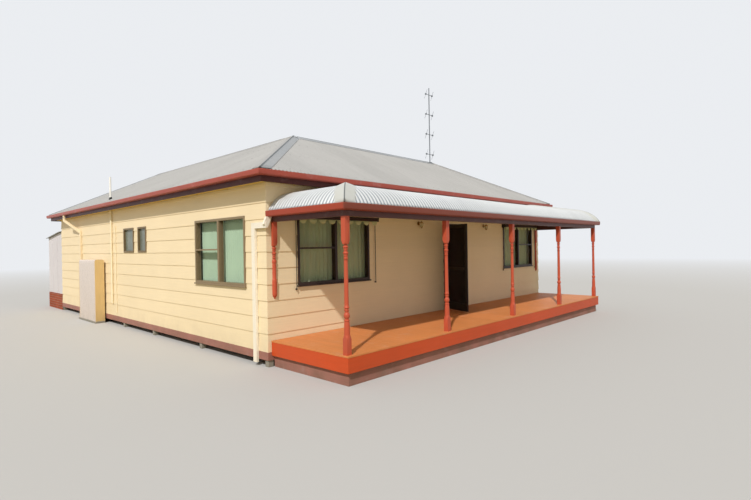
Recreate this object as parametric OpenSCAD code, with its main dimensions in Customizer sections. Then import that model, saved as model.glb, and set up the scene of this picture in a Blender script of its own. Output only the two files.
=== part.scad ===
// Weatherboard beach house with an L-shaped hipped roof and a bullnose verandah.
// X runs along the front from left to right, Y runs from front to back and Z runs up.
// Lengths are written from the outer corner of the front and left walls, heights from the floor,
// and placed() moves the whole house onto its origin on the ground.

/* [Walls] */
// Width of the front wall
front_w = 10400; // [10380:10:11200]
// Length of the left wall
side_l = 12630; // [12200:10:13600]
// Depth of each wing over its outer faces
wing_d = 4900; // [4600:20:5200]
// Thickness of the wall frame with its lining
frame_t = 100; // [80:5:130]
// Thickness of the outside boards
board_t = 20; // [16:1:24]
// Height of the floor above the ground
floor_h = 450; // [400:10:600]
// Height of the ceiling above the floor
ceiling_h = 2700; // [2695:5:2740]
// How far the wall boards run down below the floor
board_drop = 194; // [160:2:220]
// Height of the red board under the wall boards
base_board_h = 140; // [100:5:150]

/* [Roof] */
// Slope of the main roof in degrees
roof_pitch = 27; // [25:0.5:28]
// Height of the main ridge above the floor
ridge_h = 4271; // [4250:5:4320]
// Thickness of sheeting, battens and rafters together
roof_t = 60; // [50:2:80]
// Thickness of the corrugated sheet at its free edge
sheet_t = 18; // [15:1:20]
// Distance from the wall face to the outer face of the fascia
fascia_out = 244; // [230:2:260]
// Thickness of the fascia board
fascia_t = 25; // [20:1:30]
// Height of the fascia's lower edge above the floor
fascia_low = 2660; // [2650:2:2670]
// Width of the main gutter
gutter_w = 110; // [100:5:120]
// Height of the main gutter's underside above the floor
gutter_low = 2758; // [2756:1:2764]
// Height of the main gutter's front
gutter_h = 92; // [85:1:100]
// Thickness of gutter metal
gutter_t = 3; // [2:0.5:5]
// Width of the capping along hips and ridges, measured in plan
capping_w = 300; // [220:10:340]
// Thickness of the capping
capping_t = 4; // [3:0.5:6]

/* [Verandah] */
// Distance from the left wall face to the middle of the first post
post_x = 150; // [145:5:180]
// Distance from the front wall face to the middle of the posts
post_y = 1800; // [1700:10:1900]
// Distance between neighbouring posts
post_pitch = 2510; // [2500:2:2520]
// Number of posts along the front
post_n = 5; // [5:1:5]
// Width of a post across its square parts
post_w = 90; // [80:2:100]
// Height of the post's square foot
post_foot = 290; // [250:5:300]
// Height of the lower edge of the post's square head
post_head = 1610; // [1600:5:1640]
// Height of the beam's underside above the deck
beam_low = 2020; // [2010:5:2040]
// Height of the beam
beam_h = 170; // [160:5:180]
// Width of the verandah gutter
v_gutter_w = 115; // [100:5:120]
// Height of the verandah gutter's front
v_gutter_h = 100; // [90:2:105]
// Depth of the verandah gutter's underside below the top of the beam
v_gutter_drop = 85; // [80:1:90]
// Radius of the bullnose curve
bull_r = 570; // [550:5:590]
// Slope of the bullnose sheet at its free edge, in degrees
bull_edge = 65; // [60:1:68]
// Gap between the top of the verandah roof and the main gutter over it
under_gutter = 6; // [4:0.5:10]
// Thickness of a verandah rafter
v_rafter_t = 45; // [35:5:50]
// Number of verandah rafters along the front
v_rafter_n = 7; // [5:1:9]

/* [Deck] */
// Thickness of the deck boards
deck_t = 22; // [18:1:30]
// How far the deck runs out past the middle of the posts
deck_out = 105; // [90:5:120]
// How far the deck runs out past the middle of the end posts
deck_side = 83; // [70:1:100]
// Height of the deck's edge board with the boards on it
deck_edge_h = 252; // [220:2:270]
// Thickness of the deck's edge board
deck_edge_t = 35; // [25:1:45]
// How far the plinth stands back from the edge board
plinth_back = 60; // [50:5:80]
// Gap between the edge board and the plinth
plinth_gap = 18; // [10:1:25]
// Width of a stump
stump_w = 100; // [90:5:120]
// Largest distance between stumps
stump_pitch = 2100; // [1900:50:2400]

/* [Doorway] */
// Distance from the left wall face to the doorway
door_x = 5118; // [5060:2:5160]
// Width of the doorway in the wall
door_w = 920; // [900:5:1000]
// Height of the doorway in the wall
door_h = 2110; // [2090:5:2140]
// Thickness of the door frame's posts and head
jamb_t = 32; // [28:1:38]
// Gap around each door in its frame
door_gap = 8; // [7:0.5:10]
// Thickness of the screen door
screen_t = 30; // [26:1:34]
// Angle to which the screen door stands open, in degrees
screen_open = 110; // [95:1:115]
// Thickness of the front door
leaf_t = 38; // [35:1:42]
// Radius of a hinge knuckle
knuckle_r = 6; // [5:0.5:7]

/* [Windows] */
// Distance from the left wall face to the left front window
left_window_x = 655; // [600:5:700]
// Distance from the right wall face to the right front window
right_window_x = 470; // [460:5:510]
// Width of a front window
front_window_w = 1830; // [1760:10:1840]
// Height of a front window's sill above the floor
front_sill = 900; // [860:5:940]
// Height of the heads of the large windows above the floor
window_head = 2160; // [2140:5:2175]
// Distance from the front wall face to the large side window
side_window_y = 660; // [640:5:700]
// Width of the large side window
side_window_w = 1900; // [1800:10:2000]
// Distance from the front wall face to the first small window
small_window_y = 5110; // [5060:5:5160]
// Width of the first small window
small_window_w = 520; // [480:5:560]
// Gap between the two small windows
small_window_gap = 280; // [260:5:320]
// Width of the second small window
bath_window_w = 690; // [640:5:720]
// Height of the small windows' sills above the floor
small_sill = 1530; // [1500:5:1560]
// Width of a window frame's outer members
frame_w = 45; // [38:1:55]
// Depth of a window frame
frame_d = 90; // [80:2:95]
// How far a window frame stands out from the boards
frame_proud = 14; // [10:1:20]
// Width of a window's middle post
mullion_w = 60; // [50:2:80]
// Width of a thin sash bar
bar_w = 30; // [24:1:40]
// Thickness of the glass
glass_t = 6; // [4:1:8]

/* [Awnings and curtains] */
// Length of a rolled awning
awning_w = 2090; // [2050:5:2100]
// How far an awning starts before its window
awning_out = 75; // [70:5:90]
// Radius of a rolled awning
awning_r = 42; // [36:1:46]
// Height of the middle of the roll above the deck
awning_h = 2128; // [2120:1:2134]
// Distance from the wall boards to the middle of the roll
awning_y = 72; // [66:1:80]
// Length of the valance under the roll
valance_h = 110; // [100:5:150]
// Radius of an awning guide rod
rod_r = 7; // [5:0.5:8]
// Height of the lower end of the guide rods
rod_low = 850; // [830:5:880]
// Thickness of a hanging curtain with its folds
curtain_t = 50; // [40:2:60]
// Radius of a curtain rail
rail_r = 12; // [10:1:14]
// Height of the curtain rails above the floor
rail_h = 2260; // [2240:5:2300]

/* [Services] */
// Radius of the vent pipe
vent_r = 25; // [22:1:30]
// Distance from the front wall face to the vent pipe
vent_y = 7480; // [7420:10:7520]
// Height of the top of the vent pipe above the floor
vent_top = 3620; // [3500:10:3700]
// Gap between the wall face and the water heater's cabinet
heater_gap = 40; // [35:1:45]
// Depth of the water heater's cabinet
heater_d = 240; // [230:2:250]
// Distance from the front wall face to the water heater's cabinet
heater_y = 8070; // [8030:5:8100]
// Length of the water heater's cabinet
heater_l = 1490; // [1450:5:1500]
// Height of the top of the water heater's cabinet above the floor
heater_top = 1340; // [1300:5:1380]
// Width of a rectangular downpipe
pipe_w = 100; // [90:5:110]
// Depth of a rectangular downpipe
pipe_d = 50; // [45:1:60]
// Height of the aerial above the ridge
aerial_h = 2400; // [2300:20:2600]

/* [Lean-to] */
// Depth of the lean-to behind the rear wall
lean_d = 1860; // [1700:20:2000]
// Height of the lean-to roof at the house, above the floor
lean_high = 2310; // [2280:5:2340]
// Height of the lean-to roof at its back edge
lean_low = 2110; // [2060:5:2140]
// Thickness of the lean-to walls
lean_t = 45; // [40:1:60]
// Height of the top of the lean-to's brick base above the floor
brick_top = 100; // [80:5:140]

/* [Hidden] */
$fn = 48;

cream = "#F2DDA8";
rust = "#A5492F";
maroon = "#6E3328";
deck_paint = "#C77B4C";
galvanised = "#CFCDC6";
dark_frame = "#3A2A20";
taupe = "#7D6852";
concrete = "#A9A59C";
off_white = "#E9E4D6";

// Distances that keep separate pieces apart or let cuts run through
mitre_gap = 1;
over = 50;
wall_t = frame_t + board_t;
wall_low = -board_drop;
sky = ridge_h + 500;
slope = tan(roof_pitch);
roof_at_wall = ridge_h - slope * wing_d / 2;
sheet_out = fascia_out + gutter_w / 2;
soffit_h = fascia_low + 30;
lining_t = 6;

// Height of the roof's underside at a distance outside the walls
function under_roof_z(d) = roof_at_wall - roof_t - slope * d;

// Corners of the L-shaped plan, moved outwards by d
function plan_line(d) = [
  [-d, -d], [front_w + d, -d], [front_w + d, wing_d + d],
  [wing_d + d, wing_d + d], [wing_d + d, side_l + d], [-d, side_l + d]
];

// Corners of the verandah's post line, moved outwards by d
post_last = post_x + (post_n - 1) * post_pitch;
function post_line(d) = [
  [post_x - d, -mitre_gap], [post_x - d, -post_y - d],
  [post_last + d, -post_y - d], [post_last + d, -mitre_gap]
];

function unit(v) = v / norm(v);

// Box between two opposite corners
module block(lo, hi) translate(lo) cube(hi - lo);

module placed() {
  x_low = -fascia_out - gutter_w;
  x_high = max(front_w + fascia_out + gutter_w, post_last + post_w / 2 + v_gutter_w);
  y_low = -post_y - post_w / 2 - v_gutter_w;
  y_high = side_l + lean_d;
  translate([-(x_low + x_high) / 2, -(y_low + y_high) / 2, floor_h]) children();
}

// One length of a band that follows a line of corners, mitred at both ends
module band(line_a, line_b, i, z_low, z_high) {
  j = (i + 1) % len(line_a);
  step = unit(line_a[j] - line_a[i]) * mitre_gap / 2;
  translate([0, 0, z_low]) linear_extrude(z_high - z_low)
    polygon([line_a[i] + step, line_a[j] - step, line_b[j] - step, line_b[i] + step]);
}

// Four-sided hipped body over a rectangle, up to the roof plane raised by lift
module hip_body(w, l, lift, out) {
  edge_z = roof_at_wall + lift - slope * out;
  intersection() {
    translate([w + out, 0, wall_low]) rotate([90, 0, -90]) linear_extrude(w + 2 * out)
      polygon([[-l - out, 0], [out, 0], [out, edge_z - wall_low],
        [-l / 2, edge_z - wall_low + slope * (l / 2 + out)], [-l - out, edge_z - wall_low]]);
    translate([0, l + out, wall_low]) rotate([90, 0, 0]) linear_extrude(l + 2 * out)
      polygon([[-out, 0], [w + out, 0], [w + out, edge_z - wall_low],
        [w / 2, edge_z - wall_low + slope * (w / 2 + out)], [-out, edge_z - wall_low]]);
  }
}

// Everything below the roof of one wing, whose plan is given by its size
front_wing = [front_w, wing_d];
rear_wing = [wing_d, side_l];
module wing_body(wing, lift, out) hip_body(wing[0], wing[1], lift, out);

// Wall panel with window holes; its flat top meets the roof along its outer edge
boards_top = roof_at_wall - roof_t;
frame_top = boards_top + slope * board_t;
module wall_along_x(x0, x1, y0, y1, top, holes = []) {
  difference() {
    block([x0, y0, wall_low], [x1, y1, top]);
    for (h = holes) block([h[0], y0 - over, h[2]], [h[1], y1 + over, h[3]]);
  }
}

module wall_along_y(x0, x1, y0, y1, top, holes = []) {
  difference() {
    block([x0, y0, wall_low], [x1, y1, top]);
    for (h = holes) block([x0 - over, h[0], h[2]], [x1 + over, h[1], h[3]]);
  }
}

// Window openings, as [from, to, sill, head] along their wall
left_opening = [left_window_x, left_window_x + front_window_w, front_sill, window_head];
right_opening = [front_w - right_window_x - front_window_w, front_w - right_window_x, front_sill,
  window_head];
side_opening = [side_window_y, side_window_y + side_window_w, front_sill, window_head];
small_openings = [
  [small_window_y, small_window_y + small_window_w, small_sill, window_head],
  [small_window_y + small_window_w + small_window_gap,
    small_window_y + small_window_w + small_window_gap + bath_window_w, small_sill, window_head]
];
right_side_opening = [(wing_d - front_window_w) / 2, (wing_d + front_window_w) / 2, front_sill, window_head];
court_middle_x = (wing_d + front_w) / 2;
court_opening_x = [court_middle_x - front_window_w / 2, court_middle_x + front_window_w / 2,
  front_sill, window_head];
court_middle_y = (wing_d + side_l) / 2;
court_opening_y = [court_middle_y - front_window_w / 2, court_middle_y + front_window_w / 2,
  front_sill, window_head];

door_end = door_x + door_w;

// Concrete stumps under the walls, the floor and the deck
function stops(from, to, pitch) = let (n = ceil((to - from) / pitch)) [for (i = [0:n]) from + (to - from) * i / n];
stump_in = board_t + stump_w / 2;

module stump(x, y, top) {
  block([x - stump_w / 2, y - stump_w / 2, -floor_h], [x + stump_w / 2, y + stump_w / 2, top]);
}

module stumps() placed() color(concrete) {
  far_x = front_w - stump_in;
  wing = wing_d - stump_in;
  back = side_l - stump_in;
  for (x = stops(stump_in, far_x, stump_pitch)) stump(x, stump_in, wall_low);
  for (x = stops(wing, far_x, stump_pitch)) stump(x, wing, wall_low);
  for (x = [stump_in, wing]) for (y = stops(wing, back, stump_pitch))
    if (x < wing || y > wing) stump(x, y, wall_low);
  for (x = [stump_in, far_x]) stump(x, wing_d / 2, wall_low);
  stump(wing_d / 2, back, wall_low);
  for (x = stops(wing_d / 2, front_w - wing_d / 2, stump_pitch)) stump(x, wing_d / 2, -floor_t);
  for (y = stops(wing_d, side_l - wing_d / 2, stump_pitch)) stump(wing_d / 2, y, -floor_t);
  side_in = plinth_back + deck_edge_t + stump_w / 2;
  for (x = stops(deck_line[0] + side_in, deck_line[1] - side_in, post_pitch))
    stump(x, deck_front + side_in, -deck_t);
}

module base_boards() placed() color(rust)
  for (i = [0:5]) band(plan_line(0), plan_line(-board_t), i, wall_low - base_board_h, wall_low);

// Floor boards on joists, in one flat slab for each wing
floor_t = 110;
module wing_slabs(z_low, z_high) {
  block([wall_t, wall_t, z_low], [front_w - wall_t, wing_d - wall_t, z_high]);
  block([wall_t, wing_d - wall_t + mitre_gap, z_low], [wing_d - wall_t, side_l - wall_t, z_high]);
}
module floor() placed() color("#B98A5A") {
  wing_slabs(-floor_t, 0);
  block([door_x, 0, -floor_t], [door_end, wall_t, 0]);
}
module ceiling() placed() color("white") wing_slabs(ceiling_h, ceiling_h + 10);

module front_wall_left() placed() color(cream)
  wall_along_x(board_t, door_x, board_t, wall_t, frame_top, [left_opening]);
module front_wall_right() placed() color(cream)
  wall_along_x(door_end, front_w - board_t, board_t, wall_t, frame_top, [right_opening]);
module front_wall_over_door() placed() color(cream)
  block([door_x, board_t, door_h], [door_end, wall_t, frame_top]);
module left_wall() placed() color(cream)
  wall_along_y(board_t, wall_t, wall_t, side_l - board_t, frame_top, concat([side_opening], small_openings));
module right_wall() placed() color(cream)
  wall_along_y(front_w - wall_t, front_w - board_t, wall_t, wing_d - board_t, frame_top,
    [right_side_opening]);
module inner_front_wall() placed() color(cream)
  wall_along_x(wing_d - wall_t, front_w - wall_t, wing_d - wall_t, wing_d - board_t, frame_top,
    [court_opening_x]);
module inner_left_wall() placed() color(cream)
  wall_along_y(wing_d - wall_t, wing_d - board_t, wing_d - board_t, side_l - board_t, frame_top,
    [court_opening_y]);
module rear_wall() placed() color(cream)
  wall_along_x(wall_t, wing_d - wall_t, side_l - wall_t, side_l - board_t, frame_top);

// Outside boards, one flat layer a wall
module wall_boards() placed() color(cream) {
  wall_along_x(0, door_x, 0, board_t, boards_top, [left_opening]);
  wall_along_x(door_end, front_w, 0, board_t, boards_top, [right_opening]);
  block([door_x + mitre_gap, 0, door_h], [door_end - mitre_gap, board_t, boards_top]);
  wall_along_y(0, board_t, board_t + mitre_gap, side_l - board_t - mitre_gap, boards_top,
    concat([side_opening], small_openings));
  wall_along_y(front_w - board_t, front_w, board_t + mitre_gap, wing_d - board_t - mitre_gap, boards_top,
    [right_side_opening]);
  wall_along_x(wing_d + mitre_gap, front_w, wing_d - board_t, wing_d, boards_top, [court_opening_x]);
  wall_along_y(wing_d - board_t, wing_d, wing_d - board_t, side_l - board_t - mitre_gap, boards_top,
    [court_opening_y]);
  wall_along_x(0, wing_d, side_l - board_t, side_l, boards_top);
}

module eaves_lining() placed() color(cream)
  for (i = [0:5]) band(plan_line(fascia_out - fascia_t), plan_line(0), i, soffit_h, soffit_h + lining_t);

module fascia() placed() color(maroon)
  for (i = [0:5])
    band(plan_line(fascia_out), plan_line(fascia_out - fascia_t), i, fascia_low, under_roof_z(fascia_out));

// Open channel along one side: floor, back, front and a rolled lip
module channel(line_back, line_front, line_back_in, line_front_in, line_lip, i, low, back_top, front_top) {
  lip_h = 12;
  band(line_front, line_back, i, low, low + gutter_t);
  band(line_back_in, line_back, i, low, back_top);
  band(line_front, line_front_in, i, low, front_top);
  band(line_front, line_lip, i, front_top - lip_h, front_top);
}

lip_w = 9;
module roof_gutter() placed() color(rust)
  for (i = [0:5])
    channel(plan_line(fascia_out), plan_line(fascia_out + gutter_w), plan_line(fascia_out + gutter_t),
      plan_line(fascia_out + gutter_w - gutter_t), plan_line(fascia_out + gutter_w - lip_w), i,
      gutter_low, under_roof_z(fascia_out) - over / 10, gutter_low + gutter_h);

// Slopes of the main roof, each drawn as the front one is: a section in run and height, carried along the eave
ridge_corner = [wing_d / 2, wing_d / 2];
ridge_right = [front_w - wing_d / 2, wing_d / 2];
ridge_rear = [wing_d / 2, side_l - wing_d / 2];
eave = plan_line(sheet_out);
slope_plans = [
  [eave[0], eave[1], ridge_right, ridge_corner],
  [eave[5], eave[0], ridge_corner, ridge_rear],
  [eave[2], eave[3], ridge_corner, ridge_right],
  [eave[3], eave[4], ridge_rear, ridge_corner],
  [eave[1], eave[2], ridge_right],
  [eave[4], eave[5], ridge_rear]
];
function roof_point(run, lift) = [run, roof_at_wall + slope * run + lift];

// Sheet and battens inside the fascia, the bare sheet beyond it
roof_section = [
  roof_point(-sheet_out, 0), roof_point(wing_d / 2, 0), roof_point(wing_d / 2, -roof_t),
  roof_point(-fascia_out, -roof_t), roof_point(-fascia_out, -sheet_t), roof_point(-sheet_out, -sheet_t)
];
capping_section = [
  roof_point(-sheet_out, 0), roof_point(wing_d / 2, 0),
  roof_point(wing_d / 2, capping_t), roof_point(-sheet_out, capping_t)
];
module turned_to(i) {
  if (i == 0) children();
  if (i == 1) mirror([1, -1, 0]) children();
  if (i == 2) translate([0, wing_d, 0]) mirror([0, 1, 0]) children();
  if (i == 3) translate([wing_d, 0, 0]) mirror([1, 0, 0]) mirror([1, -1, 0]) children();
  if (i == 4) translate([front_w, 0, 0]) mirror([1, 0, 0]) mirror([1, -1, 0]) children();
  if (i == 5) translate([0, side_l, 0]) mirror([0, 1, 0]) children();
}
module slope_slab(i, section)
  turned_to(i) translate([-sheet_out - over, 0, 0]) rotate([90, 0, 90])
    linear_extrude(max(front_w, side_l) + 2 * (sheet_out + over)) polygon(section);
module roof_slope(i)
  intersection() {
    slope_slab(i, roof_section);
    linear_extrude(sky) polygon(slope_plans[i]);
  }
module roof_front() placed() color(galvanised) roof_slope(0);
module roof_left() placed() color(galvanised) roof_slope(1);
module roof_inner_front() placed() color(galvanised) roof_slope(2);
module roof_inner_left() placed() color(galvanised) roof_slope(3);
module roof_hip_ends() placed() color(galvanised) for (i = [4, 5]) roof_slope(i);

// Plan strip of the given width along a line between two points
module strip(a, b, w) {
  side = unit([a[1] - b[1], b[0] - a[0]]) * w / 2;
  polygon([a + side, b + side, b - side, a - side]);
}
// Hips and ridges, each with the two slopes that it covers
capped_lines = [
  [eave[0], ridge_corner, 0, 1], [eave[1], ridge_right, 0, 4], [eave[2], ridge_right, 2, 4],
  [eave[4], ridge_rear, 3, 5], [eave[5], ridge_rear, 1, 5],
  [ridge_corner, ridge_right, 0, 2], [ridge_corner, ridge_rear, 1, 3]
];
module roof_capping() placed() color("#A3A6A4")
  for (line = capped_lines) for (i = [line[2], line[3]])
    intersection() {
      slope_slab(i, capping_section);
      linear_extrude(sky) intersection() {
        strip(line[0], line[1], capping_w);
        polygon(slope_plans[i]);
      }
    }

// Verandah deck
deck_line = [post_x - deck_side, post_last + deck_side];
deck_front = -post_y - deck_out;
module deck_boards() placed() color(deck_paint)
  block([deck_line[0], deck_front, -deck_t], [deck_line[1], 0, 0]);
module deck_band(back, thick, z_low, z_high) {
  outer = [[deck_line[0] + back, -mitre_gap], [deck_line[0] + back, deck_front + back],
    [deck_line[1] - back, deck_front + back], [deck_line[1] - back, -mitre_gap]];
  deep = back + thick;
  inner = [[deck_line[0] + deep, -mitre_gap], [deck_line[0] + deep, deck_front + deep],
    [deck_line[1] - deep, deck_front + deep], [deck_line[1] - deep, -mitre_gap]];
  for (i = [0:2]) band(outer, inner, i, z_low, z_high);
}
edge_back = 4;
module deck_edge() placed() color(rust) deck_band(edge_back, deck_edge_t, -deck_edge_h, -deck_t);
module deck_plinth() placed() color(maroon)
  deck_band(plinth_back, deck_edge_t, -floor_h, -deck_edge_h - plinth_gap);

// Turned outline of a post between its square foot and head, as radius and height
module bead(centre_r, z, r) translate([centre_r, z]) circle(r);
module head_rings() {
  neck = post_w * 0.3;
  translate([0, post_head - 215]) square([neck, 235]);
  bead(neck, post_head - 205, 10);
  bead(neck, post_head - 165, 8);
  bead(neck - 3, post_head - 128, 18);
  bead(neck, post_head - 75, 9);
  bead(neck - 2, post_head - 40, 16);
}
module turned_outline() {
  intersection() {
    union() {
      foot = post_foot;
      polygon([[0, foot - 20], [post_w / 2, foot - 20], [post_w * 0.36, foot + 45],
        [post_w * 0.33, foot + 130], [post_w * 0.4, foot + 205], [0, foot + 205]]);
      bead(post_w * 0.36, foot + 212, 11);
      translate([0, foot + 205]) square([post_w * 0.33, 230]);
      bead(-20, foot + 282, 66);
      bead(post_w * 0.33, foot + 362, 10);
      bead(post_w * 0.33, foot + 398, 12);
      polygon([[0, foot + 405], [post_w * 0.38, foot + 405], [post_w * 0.33, post_head - 200],
        [0, post_head - 200]]);
      head_rings();
    }
    square([post_w / 2, beam_low]);
  }
}

// Square block whose corners are turned away at one end
module turned_block(low, high, taper_low, taper_high) {
  corner = post_w * 0.71;
  ease = 60;
  intersection() {
    translate([-post_w / 2, -post_w / 2, low]) cube([post_w, post_w, high - low]);
    rotate_extrude() polygon([[0, low], [taper_low ? post_w / 2 : corner, low],
      [corner, low + (taper_low ? ease : 1)], [corner, high - (taper_high ? ease : 1)],
      [taper_high ? post_w / 2 : corner, high], [0, high]]);
  }
}
module turned_post() {
  turned_block(0, post_foot, false, true);
  turned_block(post_head, beam_low, true, false);
  rotate_extrude() turned_outline();
}
module verandah_posts() placed() color("#B5523F")
  for (i = [0:post_n - 1]) translate([post_x + i * post_pitch, -post_y, 0]) turned_post();

// Half post that hangs on the wall under the end of the beam, with a turned point below
drop_low = 700;
module wall_post() {
  r = post_w * 0.4;
  point_h = 70;
  intersection() {
    union() {
      turned_block(post_head, beam_low, true, false);
      rotate_extrude() intersection() {
        union() {
          head_rings();
          bead(-20, post_head - 270, 62);
          polygon([[0, drop_low], [6, drop_low], [r, drop_low + point_h], [r, post_head - 330],
            [post_w * 0.3, post_head - 200], [0, post_head - 200]]);
          bead(r - 4, drop_low + point_h + 8, 10);
        }
        square([post_w / 2, beam_low]);
      }
    }
    block([-post_w, -post_w, drop_low], [post_w, 0, beam_low]);
  }
}
module wall_posts() placed() color("#B5523F")
  for (x = [post_x, post_last]) translate([x, 0, 0]) wall_post();

module verandah_beam() placed() color(maroon)
  for (i = [0:2]) band(post_line(post_w / 2), post_line(-post_w / 2), i, beam_low, beam_low + beam_h);

beam_top = beam_low + beam_h;
v_gutter_low = beam_top - v_gutter_drop;
module verandah_gutter() placed() color(rust)
  for (i = [0:2])
    channel(post_line(post_w / 2), post_line(post_w / 2 + v_gutter_w), post_line(post_w / 2 + gutter_t),
      post_line(post_w / 2 + v_gutter_w - gutter_t), post_line(post_w / 2 + v_gutter_w - lip_w), i,
      v_gutter_low, beam_top - mitre_gap, v_gutter_low + v_gutter_h);

// Bullnose sheet in section: t runs in from the sheet's free edge, over the middle of the gutter
edge_in = v_gutter_w / 2 - 7;
sheet_edge = post_w / 2 + v_gutter_w - edge_in;
edge_z = v_gutter_low + v_gutter_h + 10;
bull_c = [bull_r * sin(bull_edge), edge_z - bull_r * cos(bull_edge)];
front_run = post_y + sheet_edge - fascia_out;
// The flat part leaves the curve on the tangent that ends just under the main gutter
to_top = [front_run, gutter_low - under_gutter] - bull_c;
v_pitch = atan2(to_top[1], to_top[0]) + acos(bull_r / norm(to_top)) - 90;
bull_end = [bull_c[0] - bull_r * sin(v_pitch), bull_c[1] + bull_r * cos(v_pitch)];
module bull_wedge() {
  polygon([bull_c, bull_c + 2 * bull_r * [-sin(bull_edge), cos(bull_edge)],
    bull_c + 3 * bull_r * [-sin(40), cos(40)], bull_c + 2 * bull_r * [-sin(v_pitch), cos(v_pitch)]]);
}
// Part of the section between two depths under the sheet's top face, up to a run of t_end
module bull_section(high, low, t_end) {
  intersection() {
    union() {
      intersection() {
        difference() {
          translate(bull_c) circle(bull_r + high, $fn = 96);
          translate(bull_c) circle(bull_r + low, $fn = 96);
        }
        bull_wedge();
      }
      translate(bull_end) rotate(v_pitch) translate([-0.01, low]) square([t_end, high - low]);
    }
    translate([-over, 0]) square([t_end + over, sky]);
  }
}
// Carries a section in t and height along the front, or along the left or right end
module along_front() {
  translate([post_x - sheet_edge, -post_y - sheet_edge, 0])
    rotate([90, 0, 90]) linear_extrude(post_last - post_x + 2 * sheet_edge) children();
}
module along_left() {
  translate([post_x - sheet_edge, 0, 0]) rotate([90, 0, 0])
    linear_extrude(post_y + sheet_edge) children();
}
module along_right() translate([post_x + post_last, 0, 0]) mirror([1, 0, 0]) along_left() children();

// Plan outlines of the front and of an end, meeting along the 45 degree hips
sheet_line = post_line(sheet_edge);
hip_left = sheet_line[1] + [front_run, front_run];
hip_right = sheet_line[2] + [-front_run, front_run];
end_run = bull_end[0] + (fascia_low - 2 - bull_end[1]) / tan(v_pitch);
module front_plan() polygon([sheet_line[1], sheet_line[2], hip_right, hip_left]);
module left_plan() {
  polygon([[sheet_line[1][0], 0], sheet_line[1], hip_left, [post_x - sheet_edge + end_run, -fascia_out],
    [post_x - sheet_edge + end_run, 0]]);
}
module verandah_roof_front() placed() color(galvanised)
  intersection() {
    along_front() bull_section(0, -sheet_t, front_run);
    linear_extrude(sky) front_plan();
  }
module verandah_roof_end() {
  intersection() {
    along_left() bull_section(0, -sheet_t, front_run);
    linear_extrude(sky) left_plan();
  }
}
module verandah_roof_ends() placed() color(galvanised) {
  verandah_roof_end();
  translate([post_x + post_last, 0, 0]) mirror([1, 0, 0]) verandah_roof_end();
}
v_cap_w = 200;
v_cap_t = 3;
module hip_cap() {
  intersection() {
    union() {
      intersection() {
        along_front() bull_section(v_cap_t, 0, front_run);
        linear_extrude(sky) front_plan();
      }
      intersection() {
        along_left() bull_section(v_cap_t, 0, front_run);
        linear_extrude(sky) left_plan();
      }
    }
    linear_extrude(sky) strip(sheet_line[1], hip_left, v_cap_w);
  }
}
module verandah_hip_capping() placed() color("white") {
  hip_cap();
  translate([post_x + post_last, 0, 0]) mirror([1, 0, 0]) hip_cap();
}

// Rafter outline: under the sheet, over the beam and up to the fascia
rafter_gap = 0.2;
module rafter_outline(t_end) {
  beam_in = sheet_edge + post_w / 2;
  beam_face = sheet_edge - post_w / 2;
  intersection() {
    union() {
      translate(bull_c) circle(bull_r - sheet_t, $fn = 96);
      translate(bull_end) rotate(v_pitch) translate([0, -sheet_t - 400 - rafter_gap]) square([t_end, 400]);
    }
    polygon([[beam_face, beam_top], [beam_in, beam_top], [500, beam_top + 245],
      [front_run, fascia_low], [front_run, sky], [beam_face, sky]]);
    square([t_end, sky]);
  }
}
module verandah_rafters() placed() color(cream) {
  first = post_x + post_pitch;
  last = post_last - post_pitch;
  for (i = [0:v_rafter_n - 1])
    translate([first + (last - first) * i / (v_rafter_n - 1) - v_rafter_t / 2, -post_y - sheet_edge, 0])
      rotate([90, 0, 90]) linear_extrude(v_rafter_t) rafter_outline(front_run);
  for (x = [post_x - sheet_edge, post_last + sheet_edge]) translate([x, 0, 0])
    mirror([x > front_w / 2 ? 1 : 0, 0, 0]) rotate([90, 0, 0]) linear_extrude(v_rafter_t)
      rafter_outline(end_run);
}

// Windows: the frame is a block with its panes cut out, and each pane is one sheet of glass
function panes_two(h, bar_left, bar_right) = let (
  mid = (h[0] + h[1]) / 2,
  low = h[2] + frame_w,
  high = h[3] - frame_w,
  bar = (h[2] + h[3]) / 2 + 35,
  left = [h[0] + frame_w, mid - mullion_w / 2],
  right = [mid + mullion_w / 2, h[1] - frame_w],
  split = [[low, bar - bar_w / 2], [bar + bar_w / 2, high]],
  whole = [[low, high]]
) concat(
  [for (z = bar_left ? split : whole) [left[0], left[1], z[0], z[1]]],
  [for (z = bar_right ? split : whole) [right[0], right[1], z[0], z[1]]]
);
function pane_one(h) = [[h[0] + frame_w, h[1] - frame_w, h[2] + frame_w, h[3] - frame_w]];

// A frame lies with X along the wall, its outer face at y = -frame_proud and its wall face at y = 0
module frame_at(h, panes, sill_out) {
  difference() {
    block([h[0], -frame_proud, h[2]], [h[1], frame_d, h[3]]);
    for (p = panes) block([p[0], -over, p[2]], [p[1], frame_d + over, p[3]]);
  }
  if (sill_out > 0)
    block([h[0] - sill_side, -sill_out, h[2] - sill_h], [h[1] + sill_side, -0.01, h[2]]);
}
module panes_at(panes) {
  for (p = panes) block([p[0], frame_d / 3, p[2]], [p[1], frame_d / 3 + glass_t, p[3]]);
}
sill_out = 38;
sill_side = 20;
sill_h = 25;

// Turn a window drawn along the front wall onto the other walls
module on_left() mirror([1, -1, 0]) children();
module on_right() translate([front_w, 0, 0]) rotate(90) children();
module on_court_front() translate([0, wing_d, 0]) mirror([0, 1, 0]) children();
module on_court_left() translate([wing_d, 0, 0]) rotate(90) children();

front_left_panes = panes_two(left_opening, true, false);
front_right_panes = panes_two(right_opening, false, true);
side_panes = panes_two(side_opening, false, true);
right_side_panes = panes_two(right_side_opening, true, false);
court_front_panes = panes_two(court_opening_x, true, false);
court_left_panes = panes_two(court_opening_y, true, false);

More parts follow.
